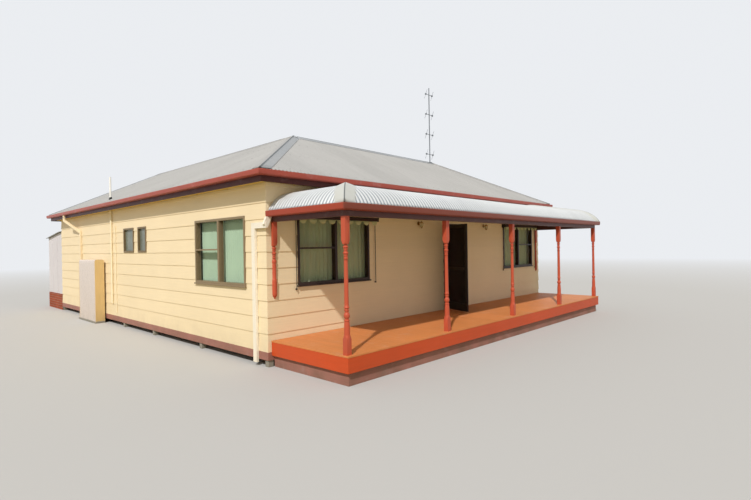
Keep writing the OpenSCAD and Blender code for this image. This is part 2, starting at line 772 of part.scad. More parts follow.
module window_frames() placed() color(dark_frame) {
  frame_at(left_opening, front_left_panes, sill_out);
  frame_at(right_opening, front_right_panes, sill_out);
  on_right() frame_at(right_side_opening, right_side_panes, sill_out);
  on_court_front() frame_at(court_opening_x, court_front_panes, sill_out);
  on_court_left() frame_at(court_opening_y, court_left_panes, sill_out);
}
module side_window_frame() placed() color(taupe) on_left() frame_at(side_opening, side_panes, sill_out);
module small_window_frames() placed() color(taupe)
  for (h = small_openings) on_left() frame_at(h, pane_one(h), 0);
module window_glass() placed() color("#9FB4B0", 0.4) {
  panes_at(front_left_panes);
  panes_at(front_right_panes);
  on_left() panes_at(side_panes);
  on_right() panes_at(right_side_panes);
  on_court_front() panes_at(court_front_panes);
  on_court_left() panes_at(court_left_panes);
}
module small_window_glass() placed() color("#8FA3AC")
  for (h = small_openings) on_left() panes_at(pane_one(h));

// Rolled awnings over the front windows, held between plates, with their valances and guide rods
plate_t = 6;
rod_in = 25;
rod_off = 20;
clip_h = 24;
awning_starts = [left_opening[0] - awning_out, right_opening[0] - awning_out];
module awnings() placed() color(maroon)
  for (x = awning_starts) {
    translate([x, -awning_y, awning_h]) rotate([0, 90, 0]) cylinder(r = awning_r, h = awning_w);
    block([x + 10, -awning_y - awning_r, awning_h - awning_r - valance_h],
      [x + awning_w - 10, -awning_y - awning_r + 8, awning_h]);
  }
module awning_rods() placed() color(dark_frame)
  for (x = awning_starts) {
    for (plate_x = [x - plate_t, x + awning_w])
      block([plate_x, -awning_y - awning_r, awning_h - awning_r], [plate_x + plate_t, 0, awning_h + awning_r]);
    for (rod_x = [x + rod_in, x + awning_w - rod_in]) {
      rod_y = -rod_r - rod_off;
      rod_top = awning_h - awning_r - rod_in;
      translate([rod_x, rod_y, rod_low]) cylinder(r = rod_r, h = rod_top - rod_low);
      for (z = [rod_low - clip_h, rod_top])
        block([rod_x - rod_r - 4, rod_y - rod_r, z], [rod_x + rod_r + 4, 0, z + clip_h]);
    }
  }

// Curtains hang from rails on the inside of the wall
rail_y = wall_t + 45;
rail_side = 60;
bracket = [20, 16];
curtain_side = 40;
curtain_low = front_sill - 120;
module rail_at(from, to) {
  translate([from - rail_side, rail_y, rail_h]) rotate([0, 90, 0])
    cylinder(r = rail_r, h = to - from + 2 * rail_side);
  for (x = [from - 2 * bracket[0], to + bracket[0]])
    block([x, wall_t, rail_h - bracket[1] / 2], [x + bracket[0], rail_y, rail_h + bracket[1] / 2]);
}
module curtain_at(from, to) {
  block([from - curtain_side, rail_y - curtain_t / 2, curtain_low],
    [to + curtain_side, rail_y + curtain_t / 2, rail_h - rail_r]);
}
module net_curtains() placed() color("#CFE0D4") {
  curtain_at(left_opening[0], left_opening[1]);
  curtain_at(right_opening[0], right_opening[1]);
}
module side_curtains() placed() color("#A9C8A8")
  on_left() curtain_at(side_opening[0], side_opening[1]);
module curtain_rails() placed() color("white") {
  rail_at(left_opening[0], left_opening[1]);
  rail_at(right_opening[0], right_opening[1]);
  on_left() rail_at(side_opening[0], side_opening[1]);
}

// Doorway: frame, screen door hung outside and front door hung inside
frame_out = 10;
screen_axis = [door_x + jamb_t, -22];
leaf_axis = [door_x + jamb_t, wall_t + 22];
leaf_w = door_w - 2 * jamb_t - 2 * door_gap;
leaf_low = 20 + door_gap;
leaf_high = door_h - jamb_t - door_gap;
hinge_heights = [leaf_low + 150, (leaf_low + leaf_high) / 2, leaf_high - 230];
hinge_h = 38;
knuckle_gap = 0.3;
module hinge_knuckle(axis, z, plate_lo, plate_hi) {
  translate([axis[0], axis[1], z]) cylinder(r = knuckle_r, h = hinge_h);
  block([plate_lo[0], plate_lo[1], z], [plate_hi[0], plate_hi[1], z + hinge_h]);
}
module door_frame() placed() color(dark_frame) {
  difference() {
    block([door_x, -frame_out, 0], [door_end, wall_t + frame_out, door_h]);
    block([door_x + jamb_t, -over, 20], [door_end - jamb_t, wall_t + over, door_h - jamb_t]);
  }
  for (z = hinge_heights) {
    hinge_knuckle(screen_axis, z, [screen_axis[0] - 8, screen_axis[1]], [screen_axis[0] - 2, 0]);
    hinge_knuckle(leaf_axis, z, [leaf_axis[0] - 8, wall_t], [leaf_axis[0] - 2, leaf_axis[1]]);
  }
}
// The screen door is drawn shut and turned about its hinge to where it stands open
module screen_turned() {
  translate([screen_axis[0], screen_axis[1], 0]) rotate(-screen_open)
    translate([-screen_axis[0], -screen_axis[1], 0]) children();
}
screen_lo = [door_x + jamb_t + door_gap, -frame_out - 4];
screen_hi = [screen_lo[0] + leaf_w, screen_lo[1] + screen_t];
stile_w = 75;
bottom_rail = 180;
top_rail = 90;
middle_rail = [leaf_low + 950, leaf_low + 1030];
mesh_t = 3;
handle_w = 16;
handle_l = 116;
handle_out = 32;
module screen_panes(y, depth) {
  for (z = [[leaf_low + bottom_rail, middle_rail[0]], [middle_rail[1], leaf_high - top_rail]])
    translate([screen_lo[0] + stile_w, y, z[0]]) cube([leaf_w - 2 * stile_w, depth, z[1] - z[0]]);
}
module screen_door() placed() color(dark_frame) screen_turned() {
  difference() {
    block([screen_lo[0], screen_lo[1], leaf_low], [screen_hi[0], screen_hi[1], leaf_high]);
    screen_panes(screen_lo[1] - over, screen_t + 2 * over);
  }
  for (z = hinge_heights)
    hinge_knuckle(screen_axis, z + hinge_h + knuckle_gap, [screen_axis[0], screen_axis[1]],
      [screen_lo[0] + 12, screen_lo[1] + 1]);
  handle_end = screen_hi[0] - stile_w / 2;
  handle_z = (middle_rail[0] + middle_rail[1] - handle_w) / 2;
  block([handle_end - handle_w, screen_lo[1] - handle_out, handle_z],
    [handle_end, screen_lo[1] + 1, handle_z + handle_w]);
  block([handle_end - handle_l, screen_lo[1] - handle_out - 12, handle_z],
    [handle_end, screen_lo[1] - handle_out, handle_z + handle_w]);
}
module screen_mesh() placed() color("#1A1816") screen_turned()
  screen_panes(screen_lo[1] + screen_t / 2, mesh_t);

door_lo = [door_x + jamb_t + door_gap, wall_t + frame_out + 4 - leaf_t];
door_stile = 110;
door_panels = [[220, 850], [1050, 1850]];
knob_r = 24;
knob_out = 45;
module front_door() placed() color(rust) {
  w = (leaf_w - 3 * door_stile) / 2;
  difference() {
    block([door_lo[0], door_lo[1], leaf_low], [door_lo[0] + leaf_w, door_lo[1] + leaf_t, leaf_high]);
    for (i = [0, 1]) for (z = door_panels)
      translate([door_lo[0] + door_stile + i * (w + door_stile), door_lo[1] - over, leaf_low + z[0]])
        cube([w, over + 10, z[1] - z[0]]);
  }
  for (z = hinge_heights)
    hinge_knuckle(leaf_axis, z + hinge_h + knuckle_gap, [leaf_axis[0], door_lo[1] + leaf_t - 1],
      [door_lo[0] + 12, leaf_axis[1]]);
  for (s = [-1, 1])
    translate([door_lo[0] + leaf_w - door_stile / 2, door_lo[1] + leaf_t / 2, leaf_low + 1000])
      rotate([90 * s, 0, 0]) cylinder(r = knob_r, h = leaf_t / 2 + knob_out);
}

// Lanterns on wall plates, each part of the way from the doorway to the awning beside it
lamp_shares = [0.4, 0.484];
lamp_x = [door_x - lamp_shares[0] * (door_x - awning_starts[0] - awning_w),
  door_end + lamp_shares[1] * (awning_starts[1] - door_end)];
lamp_z = door_h - 15;
lamp_out = 90;
lamp_r = 62;
plate_r = 45;
plate_out = 14;
module lantern() {
  rotate_extrude() polygon([[0, 55], [12, 50], [lamp_r - 2, 18], [lamp_r, 10], [lamp_r - 12, 8],
    [lamp_r - 26, -105], [14, -118], [0, -118]]);
}
module wall_lamps() placed() color("#B08D4A")
  for (x = lamp_x) translate([x, 0, lamp_z]) {
    translate([0, -0.01, 0]) rotate([90, 0, 0]) cylinder(r = plate_r, h = plate_out);
    translate([0, 1 - plate_out, 0]) rotate([90, 0, 0]) cylinder(r = 8, h = lamp_out - 10);
    translate([0, -lamp_out, 0]) lantern();
  }

// Vent pipe in two lengths, under and over the eaves, and a thin pipe beside it
vent_low = 150;
thin_r = 10;
thin_low = -100;
thin_back = 270;
module wall_pipes() placed() color(cream) {
  translate([-vent_r, vent_y, vent_low]) cylinder(r = vent_r, h = soffit_h - vent_low);
  above = under_roof_z(2 * vent_r);
  difference() {
    translate([-vent_r, vent_y, above]) cylinder(r = vent_r, h = vent_top - above);
    wing_body(rear_wing, 0, sheet_out);
  }
  translate([-thin_r, vent_y - thin_back, thin_low]) cylinder(r = thin_r, h = window_head + 100 - thin_low);
}

// Water heater: a slim steel cabinet with a rounded top on its pad, and two pipes into the wall
pad_h = 50;
pad_over = 20;
heater_edge = 50;
heater_pipe_r = 11;
heater_pipe_in = 300;
heater_pipe_z = 250;
module water_heater() placed() color(off_white) {
  low = pad_h - floor_h;
  height = heater_top - low + 1;
  block([-heater_gap - heater_d - pad_over, heater_y - pad_over, -floor_h],
    [-heater_gap, heater_y + heater_l + pad_over, low]);
  translate([-heater_gap - heater_d, heater_y + heater_l, low - 1]) rotate([90, 0, 0])
    linear_extrude(heater_l) union() {
      square([heater_d, height - heater_edge]);
      translate([heater_edge, 0]) square([heater_d - 2 * heater_edge, height]);
      for (x = [heater_edge, heater_d - heater_edge])
        translate([x, height - heater_edge]) circle(heater_edge);
    }
  for (y = [heater_pipe_in, heater_l - heater_pipe_in])
    translate([-heater_gap - heater_edge, heater_y + y, heater_pipe_z]) rotate([0, 90, 0])
      cylinder(r = heater_pipe_r, h = heater_gap + heater_edge);
}

// Sloping stretch of rectangular pipe between two middle points, lying against the wall's plane
module pipe_run(a, b) {
  d = b - a;
  flat = norm([d[0], d[1]]);
  translate(a) rotate([0, 0, atan2(d[1], d[0])]) rotate([0, 90 - atan2(d[2], flat), 0])
    translate([-pipe_w / 2, -pipe_d / 2, 0]) cube([pipe_w, pipe_d, norm(d)]);
}
drop_y = 330;
rear_drop_y = 10300;
pipe_low = 60 - floor_h;
turn_drop = 90;
corner_out = 60;
elbow_h = 60;
rear_top = gutter_low - 528;
outlet_h = 200;
outlet_back = 640;
module downpipes() placed() color(off_white) {
  turn_z = v_gutter_low - turn_drop;
  block([-pipe_d, drop_y - pipe_w / 2, pipe_low], [0, drop_y + pipe_w / 2, turn_z]);
  block([-pipe_d, -corner_out, turn_z - pipe_w], [0, drop_y + pipe_w / 2, turn_z]);
  intersection() {
    pipe_run([-pipe_d / 2 - 10, -corner_out / 2, turn_z - elbow_h],
      [post_x - post_w / 2 - 60, -corner_out / 2, v_gutter_low + 30]);
    block([-400, -400, 0], [400, 0, v_gutter_low]);
  }
  block([-pipe_d, rear_drop_y - pipe_w / 2, pipe_low], [0, rear_drop_y + pipe_w / 2, rear_top]);
  outlet = [-fascia_out - (gutter_w + pipe_d) / 2, rear_drop_y + outlet_back, gutter_low - outlet_h];
  translate(outlet) cube([pipe_d, pipe_w, outlet_h]);
  hull() {
    translate([-pipe_d, rear_drop_y - pipe_w / 2, rear_top - elbow_h - 20])
      cube([pipe_d, pipe_w, elbow_h]);
    translate(outlet) cube([pipe_d, pipe_w, elbow_h]);
  }
}

// Lean-to behind the rear wall: sheet walls on a brick base under a single slope
lean_back = side_l + lean_d;
lean_slope = (lean_high - lean_low) / lean_d;
module lean_profile(z_low, lift) {
  polygon([[side_l, z_low], [lean_back, z_low], [lean_back, lean_low + lift], [side_l, lean_high + lift]]);
}
module lean_body(z_low, lift, x0, x1)
  translate([x0, 0, 0]) rotate([90, 0, 90]) linear_extrude(x1 - x0) lean_profile(z_low, lift);
lean_roof_t = 25;
lean_over = 60;
module lean_shell(z_low, thick, inset) {
  block([inset, side_l + mitre_gap, z_low], [inset + thick, lean_back - lean_over - thick - mitre_gap, sky]);
  block([wing_d - inset - thick, side_l + mitre_gap, z_low],
    [wing_d - inset, lean_back - lean_over - thick - mitre_gap, sky]);
  block([inset, lean_back - lean_over - thick, z_low], [wing_d - inset, lean_back - lean_over, sky]);
}
module lean_to_walls() placed() color("#DDD8DA")
  intersection() {
    lean_shell(brick_top, lean_t, 20);
    lean_body(brick_top, -lean_roof_t, 0, wing_d);
  }
module lean_to_base() placed() color("#A5563F")
  intersection() {
    lean_shell(-floor_h, 110, 0);
    block([0, side_l, -floor_h], [wing_d, lean_back, brick_top]);
  }
module lean_to_roof() placed() color(galvanised)
  difference() {
    lean_body(brick_top, 0, -lean_over, wing_d + lean_over);
    lean_body(-floor_h, -lean_roof_t, -lean_over - over, wing_d + lean_over + over);
  }

// Aerial: mast on the ridge, cross arms with pairs of slanting rods
mast_in = 60;
mast_r = 16;
foot_size = [120, 80];
foot_h = 70;
foot_sunk = 60;
arm_n = 4;
arm_first = 260;
arm_last = 220;
arm_half = 165;
arm_r = 8;
rod_half = 170;
rod_lean = 25;
aerial_rod_r = 5;
clamp = [40, 40, 44];
aerial_x = front_w - wing_d / 2 - mast_in;
module tv_aerial() placed() color("#6A6E72") {
  arm_pitch = (aerial_h - arm_first - arm_last) / (arm_n - 1);
  translate([aerial_x, wing_d / 2, 0]) {
    difference() {
      union() {
        translate([0, 0, ridge_h - foot_sunk]) cylinder(r = mast_r, h = aerial_h + foot_sunk);
        translate([-foot_size[0] / 2, -foot_size[1] / 2, ridge_h - foot_sunk])
          cube([foot_size[0], foot_size[1], foot_h]);
      }
      translate([-aerial_x, -wing_d / 2, 0]) wing_body(front_wing, capping_t, sheet_out);
    }
    for (i = [0:arm_n - 1]) translate([0, 0, ridge_h + arm_first + i * arm_pitch]) {
      translate([-arm_half, 0, 0]) rotate([0, 90, 0]) cylinder(r = arm_r, h = 2 * arm_half);
      for (s = [-1, 1]) translate([s * arm_half, 0, 0]) {
        rotate([0, rod_lean, 0]) translate([0, 0, -rod_half]) cylinder(r = aerial_rod_r, h = 2 * rod_half);
        translate(-clamp / 2) cube(clamp);
      }
    }
  }
}

stumps();
base_boards();
floor();
front_wall_left();
front_wall_right();
front_wall_over_door();
left_wall();
right_wall();
inner_front_wall();
inner_left_wall();
rear_wall();
wall_boards();
ceiling();
eaves_lining();
fascia();
roof_gutter();
roof_front();
roof_left();
roof_inner_front();
roof_inner_left();
roof_hip_ends();
roof_capping();
deck_boards();
deck_edge();
deck_plinth();
verandah_posts();
wall_posts();
verandah_beam();
verandah_gutter();
verandah_rafters();
verandah_roof_front();
verandah_roof_ends();
verandah_hip_capping();
window_frames();
side_window_frame();
small_window_frames();
window_glass();
small_window_glass();
awnings();
awning_rods();
net_curtains();
side_curtains();
curtain_rails();
door_frame();
screen_door();
screen_mesh();
front_door();
wall_lamps();
wall_pipes();
water_heater();
downpipes();
lean_to_walls();
lean_to_base();
lean_to_roof();
tv_aerial();
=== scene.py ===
"""Looks of a weatherboard beach house with a corrugated hipped roof and a bullnose verandah.

Places are worked out in metres from the outer corner of the front and left walls, with heights from the
floor, and ORIGIN moves them into the frame. X runs along the front, Y from front to back and Z up.
"""
import math

import bmesh
import bpy
import numpy as np
from bpy.props import FloatProperty, FloatVectorProperty, PointerProperty
from mathutils import Matrix, Vector


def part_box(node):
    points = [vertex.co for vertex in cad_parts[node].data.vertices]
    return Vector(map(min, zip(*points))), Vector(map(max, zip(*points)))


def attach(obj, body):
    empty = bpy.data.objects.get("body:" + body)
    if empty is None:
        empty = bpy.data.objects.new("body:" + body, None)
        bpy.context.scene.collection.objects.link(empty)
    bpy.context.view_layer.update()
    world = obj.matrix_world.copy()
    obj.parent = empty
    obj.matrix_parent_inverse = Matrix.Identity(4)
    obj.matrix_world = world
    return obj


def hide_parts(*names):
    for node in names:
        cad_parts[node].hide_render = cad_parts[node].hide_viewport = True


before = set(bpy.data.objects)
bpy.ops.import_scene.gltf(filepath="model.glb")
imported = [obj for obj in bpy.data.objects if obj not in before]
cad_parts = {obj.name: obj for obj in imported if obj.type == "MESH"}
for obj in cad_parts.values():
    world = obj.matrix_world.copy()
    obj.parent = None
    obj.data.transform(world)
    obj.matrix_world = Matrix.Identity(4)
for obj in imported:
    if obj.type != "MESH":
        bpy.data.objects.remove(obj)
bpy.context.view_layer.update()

bl_info = {
    "name": "Beach house",
    "version": (1, 0, 0),
    "blender": (4, 5, 0),
    "location": "3D View > Sidebar > Beach house",
    "description": "Boards, roofing, turned timber, windows and fittings of a beach house",
    "category": "Add Mesh",
}


# Measures taken from the frame

def cad_box(node):
    """Lowest and highest corner of a node, measured from ORIGIN."""
    low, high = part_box(node)
    return np.array(low) - ORIGIN, np.array(high) - ORIGIN


ORIGIN = np.array([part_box("wall_boards")[0].x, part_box("wall_boards")[0].y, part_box("floor")[1].z])
FRONT_W, SIDE_L = (float(v) for v in cad_box("wall_boards")[1][:2])
WING_D = 2 * float(cad_box("roof_front")[1][1])
RIDGE_Z = float(cad_box("roof_front")[1][2])
EAVE_OUT = -float(cad_box("roof_front")[0][0])
FASCIA_OUT = -float(cad_box("fascia")[0][0])
WALL_LOW = float(cad_box("wall_boards")[0][2])
SOFFIT_Z = float(cad_box("eaves_lining")[0][2])
ROOF_PITCH = math.radians(27)
RISE = math.tan(ROOF_PITCH)
ROOF_RUN = WING_D / 2 + EAVE_OUT
ROOT_TWO = math.sqrt(2)


def colour(code):
    """Linear colour of a six-digit sRGB code."""
    parts = np.array([int(code[i:i + 2], 16) for i in (1, 3, 5)]) / 255
    linear = np.where(parts <= 0.04045, parts / 12.92, ((parts + 0.055) / 1.055) ** 2.4)
    return tuple(float(v) for v in linear)


# Shapes: points, faces, and what the points carry

class Shape:
    """Points, arrays of faces with equal numbers of corners, and a UV place and a tone for each point."""

    def __init__(self, points, faces, uv=None, tone=None):
        self.points = np.asarray(points, float).reshape(-1, 3)
        self.faces = [np.asarray(f, int) for f in faces if len(f)]
        count = len(self.points)
        self.uv = np.zeros((count, 2)) if uv is None else np.asarray(uv, float).reshape(-1, 2)
        self.tone = np.zeros(count) if tone is None else np.asarray(tone, float).reshape(-1)


def joined(shapes):
    """One shape of several, with each one's face numbers moved up by the points before it."""
    faces = []
    before = 0
    for shape in shapes:
        faces += [f + before for f in shape.faces]
        before += len(shape.points)
    return Shape(
        np.concatenate([s.points for s in shapes]), faces,
        np.concatenate([s.uv for s in shapes]), np.concatenate([s.tone for s in shapes]),
    )


def stacked(*parts):
    """Arrays, stretched to one size where they need it, as the last axis of a new array."""
    return np.stack(np.broadcast_arrays(*parts), axis=-1)


def grid(points, loop_u=False, loop_v=False, uv=None, tone=None):
    """Quads between neighbouring points of a rectangular array, closed round in u or v if asked."""
    points = np.asarray(points, float)
    index = np.arange(points.shape[0] * points.shape[1]).reshape(points.shape[:2])
    if loop_u:
        index = np.concatenate([index, index[:1]], axis=0)
    if loop_v:
        index = np.concatenate([index, index[:, :1]], axis=1)
    quads = stacked(index[:-1, :-1], index[1:, :-1], index[1:, 1:], index[:-1, 1:])
    return Shape(points, [quads.reshape(-1, 4)], uv, tone)


def capped(body, sides):
    """A body of rings of points, with its first and last ring closed by flat faces."""
    count = len(body.points)
    ends = np.array([np.arange(sides)[::-1], np.arange(count - sides, count)])
    return Shape(body.points, body.faces + [ends], body.uv)


def bars(section, starts, ends, across, up, slide_start=0.0, slide_end=0.0, tone=None):
    """A closed section carried along many straight bars: start or end + section x * across + section y * up.

    slide_start and slide_end move each section point along its bar, which cuts a mitre.
    """
    section = np.asarray(section, float)
    starts, ends = np.atleast_2d(starts).astype(float), np.atleast_2d(ends).astype(float)
    count, sides = len(starts), len(section)
    across = np.broadcast_to(np.asarray(across, float), (count, 3))
    up = np.broadcast_to(np.asarray(up, float), (count, 3))
    along = ends - starts
    along = along / np.linalg.norm(along, axis=1, keepdims=True)
    ring = section[None, :, :1] * across[:, None] + section[None, :, 1:] * up[:, None]
    first = starts[:, None] + ring + np.reshape(slide_start * np.ones(sides), (1, sides, 1)) * along[:, None]
    last = ends[:, None] + ring + np.reshape(slide_end * np.ones(sides), (1, sides, 1)) * along[:, None]
    points = np.stack([first, last], axis=1)
    base = (np.arange(count) * 2 * sides)[:, None]
    here = np.arange(sides)
    after = np.roll(here, -1)
    quads = stacked(base + here, base + after, base + sides + after, base + sides + here)
    caps = np.concatenate([base + here[::-1], base + sides + here])
    run = np.linalg.norm(ends - starts, axis=1)
    uv = np.zeros((count, 2, sides, 2))
    uv[:, 1, :, 0] = run[:, None]
    around = np.concatenate([[0], np.cumsum(np.linalg.norm(np.diff(section, axis=0), axis=1))])
    uv[..., 1] = around
    tones = None if tone is None else np.repeat(np.asarray(tone, float), 2 * sides)
    return Shape(points, [quads.reshape(-1, 4), caps], uv, tones)


def boxes(low, high, tone=None):
    """Upright boxes between pairs of opposite corners."""
    low, high = np.atleast_2d(low).astype(float), np.atleast_2d(high).astype(float)
    corner = np.array([[0, 0, 0], [1, 0, 0], [1, 1, 0], [0, 1, 0],
                       [0, 0, 1], [1, 0, 1], [1, 1, 1], [0, 1, 1]])
    points = low[:, None] + corner[None] * (high - low)[:, None]
    side = np.array([[0, 3, 2, 1], [4, 5, 6, 7], [0, 1, 5, 4], [1, 2, 6, 5], [2, 3, 7, 6], [3, 0, 4, 7]])
    quads = (np.arange(len(low)) * 8)[:, None, None] + side[None]
    tones = None if tone is None else np.repeat(np.asarray(tone, float), 8)
    return Shape(points, [quads.reshape(-1, 4)], None, tones)


def lathe(profile, centres, sides=32):
    """An outline of radius and height turned about upright axes, one at each centre."""
    profile = np.asarray(profile, float)
    turn = np.linspace(0, 2 * math.pi, sides, endpoint=False)
    circle = stacked(np.cos(turn), np.sin(turn), np.zeros(sides))
    upright = np.array([0.0, 0.0, 1.0])
    made = []
    for centre in np.atleast_2d(centres):
        points = centre + profile[None, :, :1] * circle[:, None] + profile[None, :, 1:] * upright
        made.append(grid(points, loop_u=True))
    return joined(made)


def tube(path, radius, sides=16):
    """A circle carried along a path, square to it, with flat ends.

    The circle's first direction is worked out at the start and turned with the path from point to point.
    """
    path = np.asarray(path, float)
    tangent = np.gradient(path, axis=0)
    tangent /= np.linalg.norm(tangent, axis=1, keepdims=True)
    first = np.cross(tangent[0], [0.31, 0.2, 0.93])
    first /= np.linalg.norm(first)
    rings = []
    for point, along in zip(path, tangent):
        first = first - along * np.dot(first, along)
        first /= np.linalg.norm(first)
        second = np.cross(along, first)
        turn = np.linspace(0, 2 * math.pi, sides, endpoint=False)[:, None]
        rings.append(point + radius * (np.cos(turn) * first + np.sin(turn) * second))
    return capped(grid(np.array(rings), loop_v=True), sides)


def rounded_path(corners, radius, steps=6):
    """Straight runs between corners, with each inner corner rounded by a quarter-like curve."""
    corners = np.asarray(corners, float)
    points = [corners[0]]
    for before, here, after in zip(corners[:-2], corners[1:-1], corners[2:]):
        back = (before - here) / np.linalg.norm(before - here)
        on = (after - here) / np.linalg.norm(after - here)
        t = np.linspace(0, 1, steps)[:, None]
        start, end = here + back * radius, here + on * radius
        points += list((1 - t) ** 2 * start + 2 * t * (1 - t) * here + t ** 2 * end)
    points.append(corners[-1])
    return np.array(points)


def swept(profile, corners, closed=False):
    """A closed profile of distance out and height, carried round plan corners with mitred turns.

    Outwards is to the right of the way along the corners. At a corner the profile point lies at
    corner + out * (n1 + n2) / (1 + n1.n2), where n1 and n2 are the outward directions of the two runs.
    """
    profile, corners = np.asarray(profile, float), np.asarray(corners, float)
    run = np.roll(corners, -1, axis=0) - corners
    if not closed:
        run[-1] = run[-2]
    run /= np.linalg.norm(run, axis=1, keepdims=True)
    after = stacked(run[:, 1], -run[:, 0])
    before = np.roll(after, 1, axis=0)
    if not closed:
        before[0] = after[0]
    mitre = (after + before) / (1 + np.sum(after * before, axis=1, keepdims=True))
    plan = corners[:, None] + profile[None, :, :1] * mitre[:, None]
    height = np.broadcast_to(profile[None, :, 1:], plan.shape[:2] + (1,))
    points = np.concatenate([plan, height], axis=-1)
    body = grid(points, loop_u=closed, loop_v=True)
    return body if closed else capped(body, len(profile))


def arc(centre, radius, start, end, steps):
    """Points on a circle's arc, from one angle to another in degrees."""
    turn = np.radians(np.linspace(start, end, steps))
    return stacked(centre[0] + radius * np.cos(turn), centre[1] + radius * np.sin(turn))


# Objects

MERGED = 1e-5


def mesh_from(name, shape, outward):
    """A mesh with the shape's points, faces, UV map and tone, merged, with faces turned outwards if asked."""
    mesh = bpy.data.meshes.new(name)
    corners = np.concatenate([f.reshape(-1) for f in shape.faces]).astype(np.int32)
    sizes = np.concatenate([np.full(len(f), f.shape[1]) for f in shape.faces])
    mesh.vertices.add(len(shape.points))
    mesh.vertices.foreach_set("co", (shape.points + ORIGIN).astype(np.float32).reshape(-1))
    mesh.loops.add(len(corners))
    mesh.loops.foreach_set("vertex_index", corners)
    mesh.polygons.add(len(sizes))
    mesh.polygons.foreach_set("loop_start", np.concatenate([[0], np.cumsum(sizes)[:-1]]).astype(np.int32))
    mesh.update(calc_edges=True)
    mesh.uv_layers.new(name="UVMap").data.foreach_set("uv", shape.uv[corners].astype(np.float32).reshape(-1))
    tone = mesh.attributes.new("tone", "FLOAT", "POINT")
    tone.data.foreach_set("value", shape.tone.astype(np.float32))
    work = bmesh.new()
    work.from_mesh(mesh)
    bmesh.ops.remove_doubles(work, verts=work.verts, dist=MERGED)
    if outward:
        bmesh.ops.recalc_face_normals(work, faces=work.faces)
    work.to_mesh(mesh)
    work.free()
    return mesh


def linked(name, data):
    """A new object of the scene with the given data."""
    obj = bpy.data.objects.new(name, data)
    bpy.context.scene.collection.objects.link(obj)
    return obj


def ease(obj, width):
    """Rounds an object's sharp edges."""
    edge = obj.modifiers.new("Edges", "BEVEL")
    edge.width = width
    edge.segments = 2
    edge.limit_method = "ANGLE"
    edge.angle_limit = math.radians(40)
    return edge


def finished(obj, look, body, replaces, smooth, thick, bevel):
    """Gives an object its finish, edges and thickness, and hangs it under its body's empty."""
    mesh = obj.data
    mesh.materials.clear()
    mesh.materials.append(finish(look))
    mesh.polygons.foreach_set("use_smooth", np.full(len(mesh.polygons), smooth is not None))
    if smooth is not None:
        mesh.set_sharp_from_angle(angle=math.radians(smooth))
    if thick:
        wall = obj.modifiers.new("Thickness", "SOLIDIFY")
        wall.thickness = thick
        wall.offset = 0.0
    if bevel:
        ease(obj, bevel).harden_normals = smooth is not None
    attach(obj, body)
    if replaces:
        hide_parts(*([replaces] if isinstance(replaces, str) else replaces))
    return obj


def place(name, shape, look, body="root", replaces=(), smooth=None, thick=0.0, bevel=0.0,
          outward=True):
    """Makes a piece from a shape."""
    obj = linked(name, mesh_from(name, shape, outward and not thick))
    return finished(obj, look, body, replaces, smooth, thick, bevel)


def merged_copy(node):
    """A new mesh with a node's faces, its doubled points merged."""
    work = bmesh.new()
    work.from_mesh(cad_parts[node].data)
    bmesh.ops.remove_doubles(work, verts=work.verts, dist=MERGED)
    return work


def smooth_copy(name, node, look, body="root", smooth=35, bevel=0.0):
    """A piece with a node's own shape, whose curved faces shade smoothly."""
    work = merged_copy(node)
    bmesh.ops.dissolve_limit(work, angle_limit=math.radians(0.5), verts=work.verts, edges=work.edges)
    mesh = bpy.data.meshes.new(name)
    work.to_mesh(mesh)
    work.free()
    obj = linked(name, mesh)
    return finished(obj, look, body, node, smooth, 0.0, bevel)


def solid_boxes(node):
    """Lowest and highest corners, from ORIGIN, of each separate solid of a node."""
    work = merged_copy(node)
    found = []
    left = set(work.verts)
    while left:
        seen = {left.pop()}
        edge = list(seen)
        while edge:
            nearby = {e.other_vert(v) for v in edge for e in v.link_edges} - seen
            seen |= nearby
            edge = list(nearby)
        left -= seen
        points = np.array([v.co[:] for v in seen]) - ORIGIN
        found.append((points.min(0), points.max(0)))
    work.free()
    return sorted(found, key=lambda b: tuple(np.round(b[0], 3)))


def dress(node, look, edges=0.0):
    """Gives a node a finish, and rounds its sharp edges a little if asked."""
    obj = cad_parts[node]
    obj.data.materials.clear()
    obj.data.materials.append(finish(look))
    if edges:
        weld = obj.modifiers.new("Weld", "WELD")
        weld.merge_threshold = MERGED
        ease(obj, edges)


# Finishes

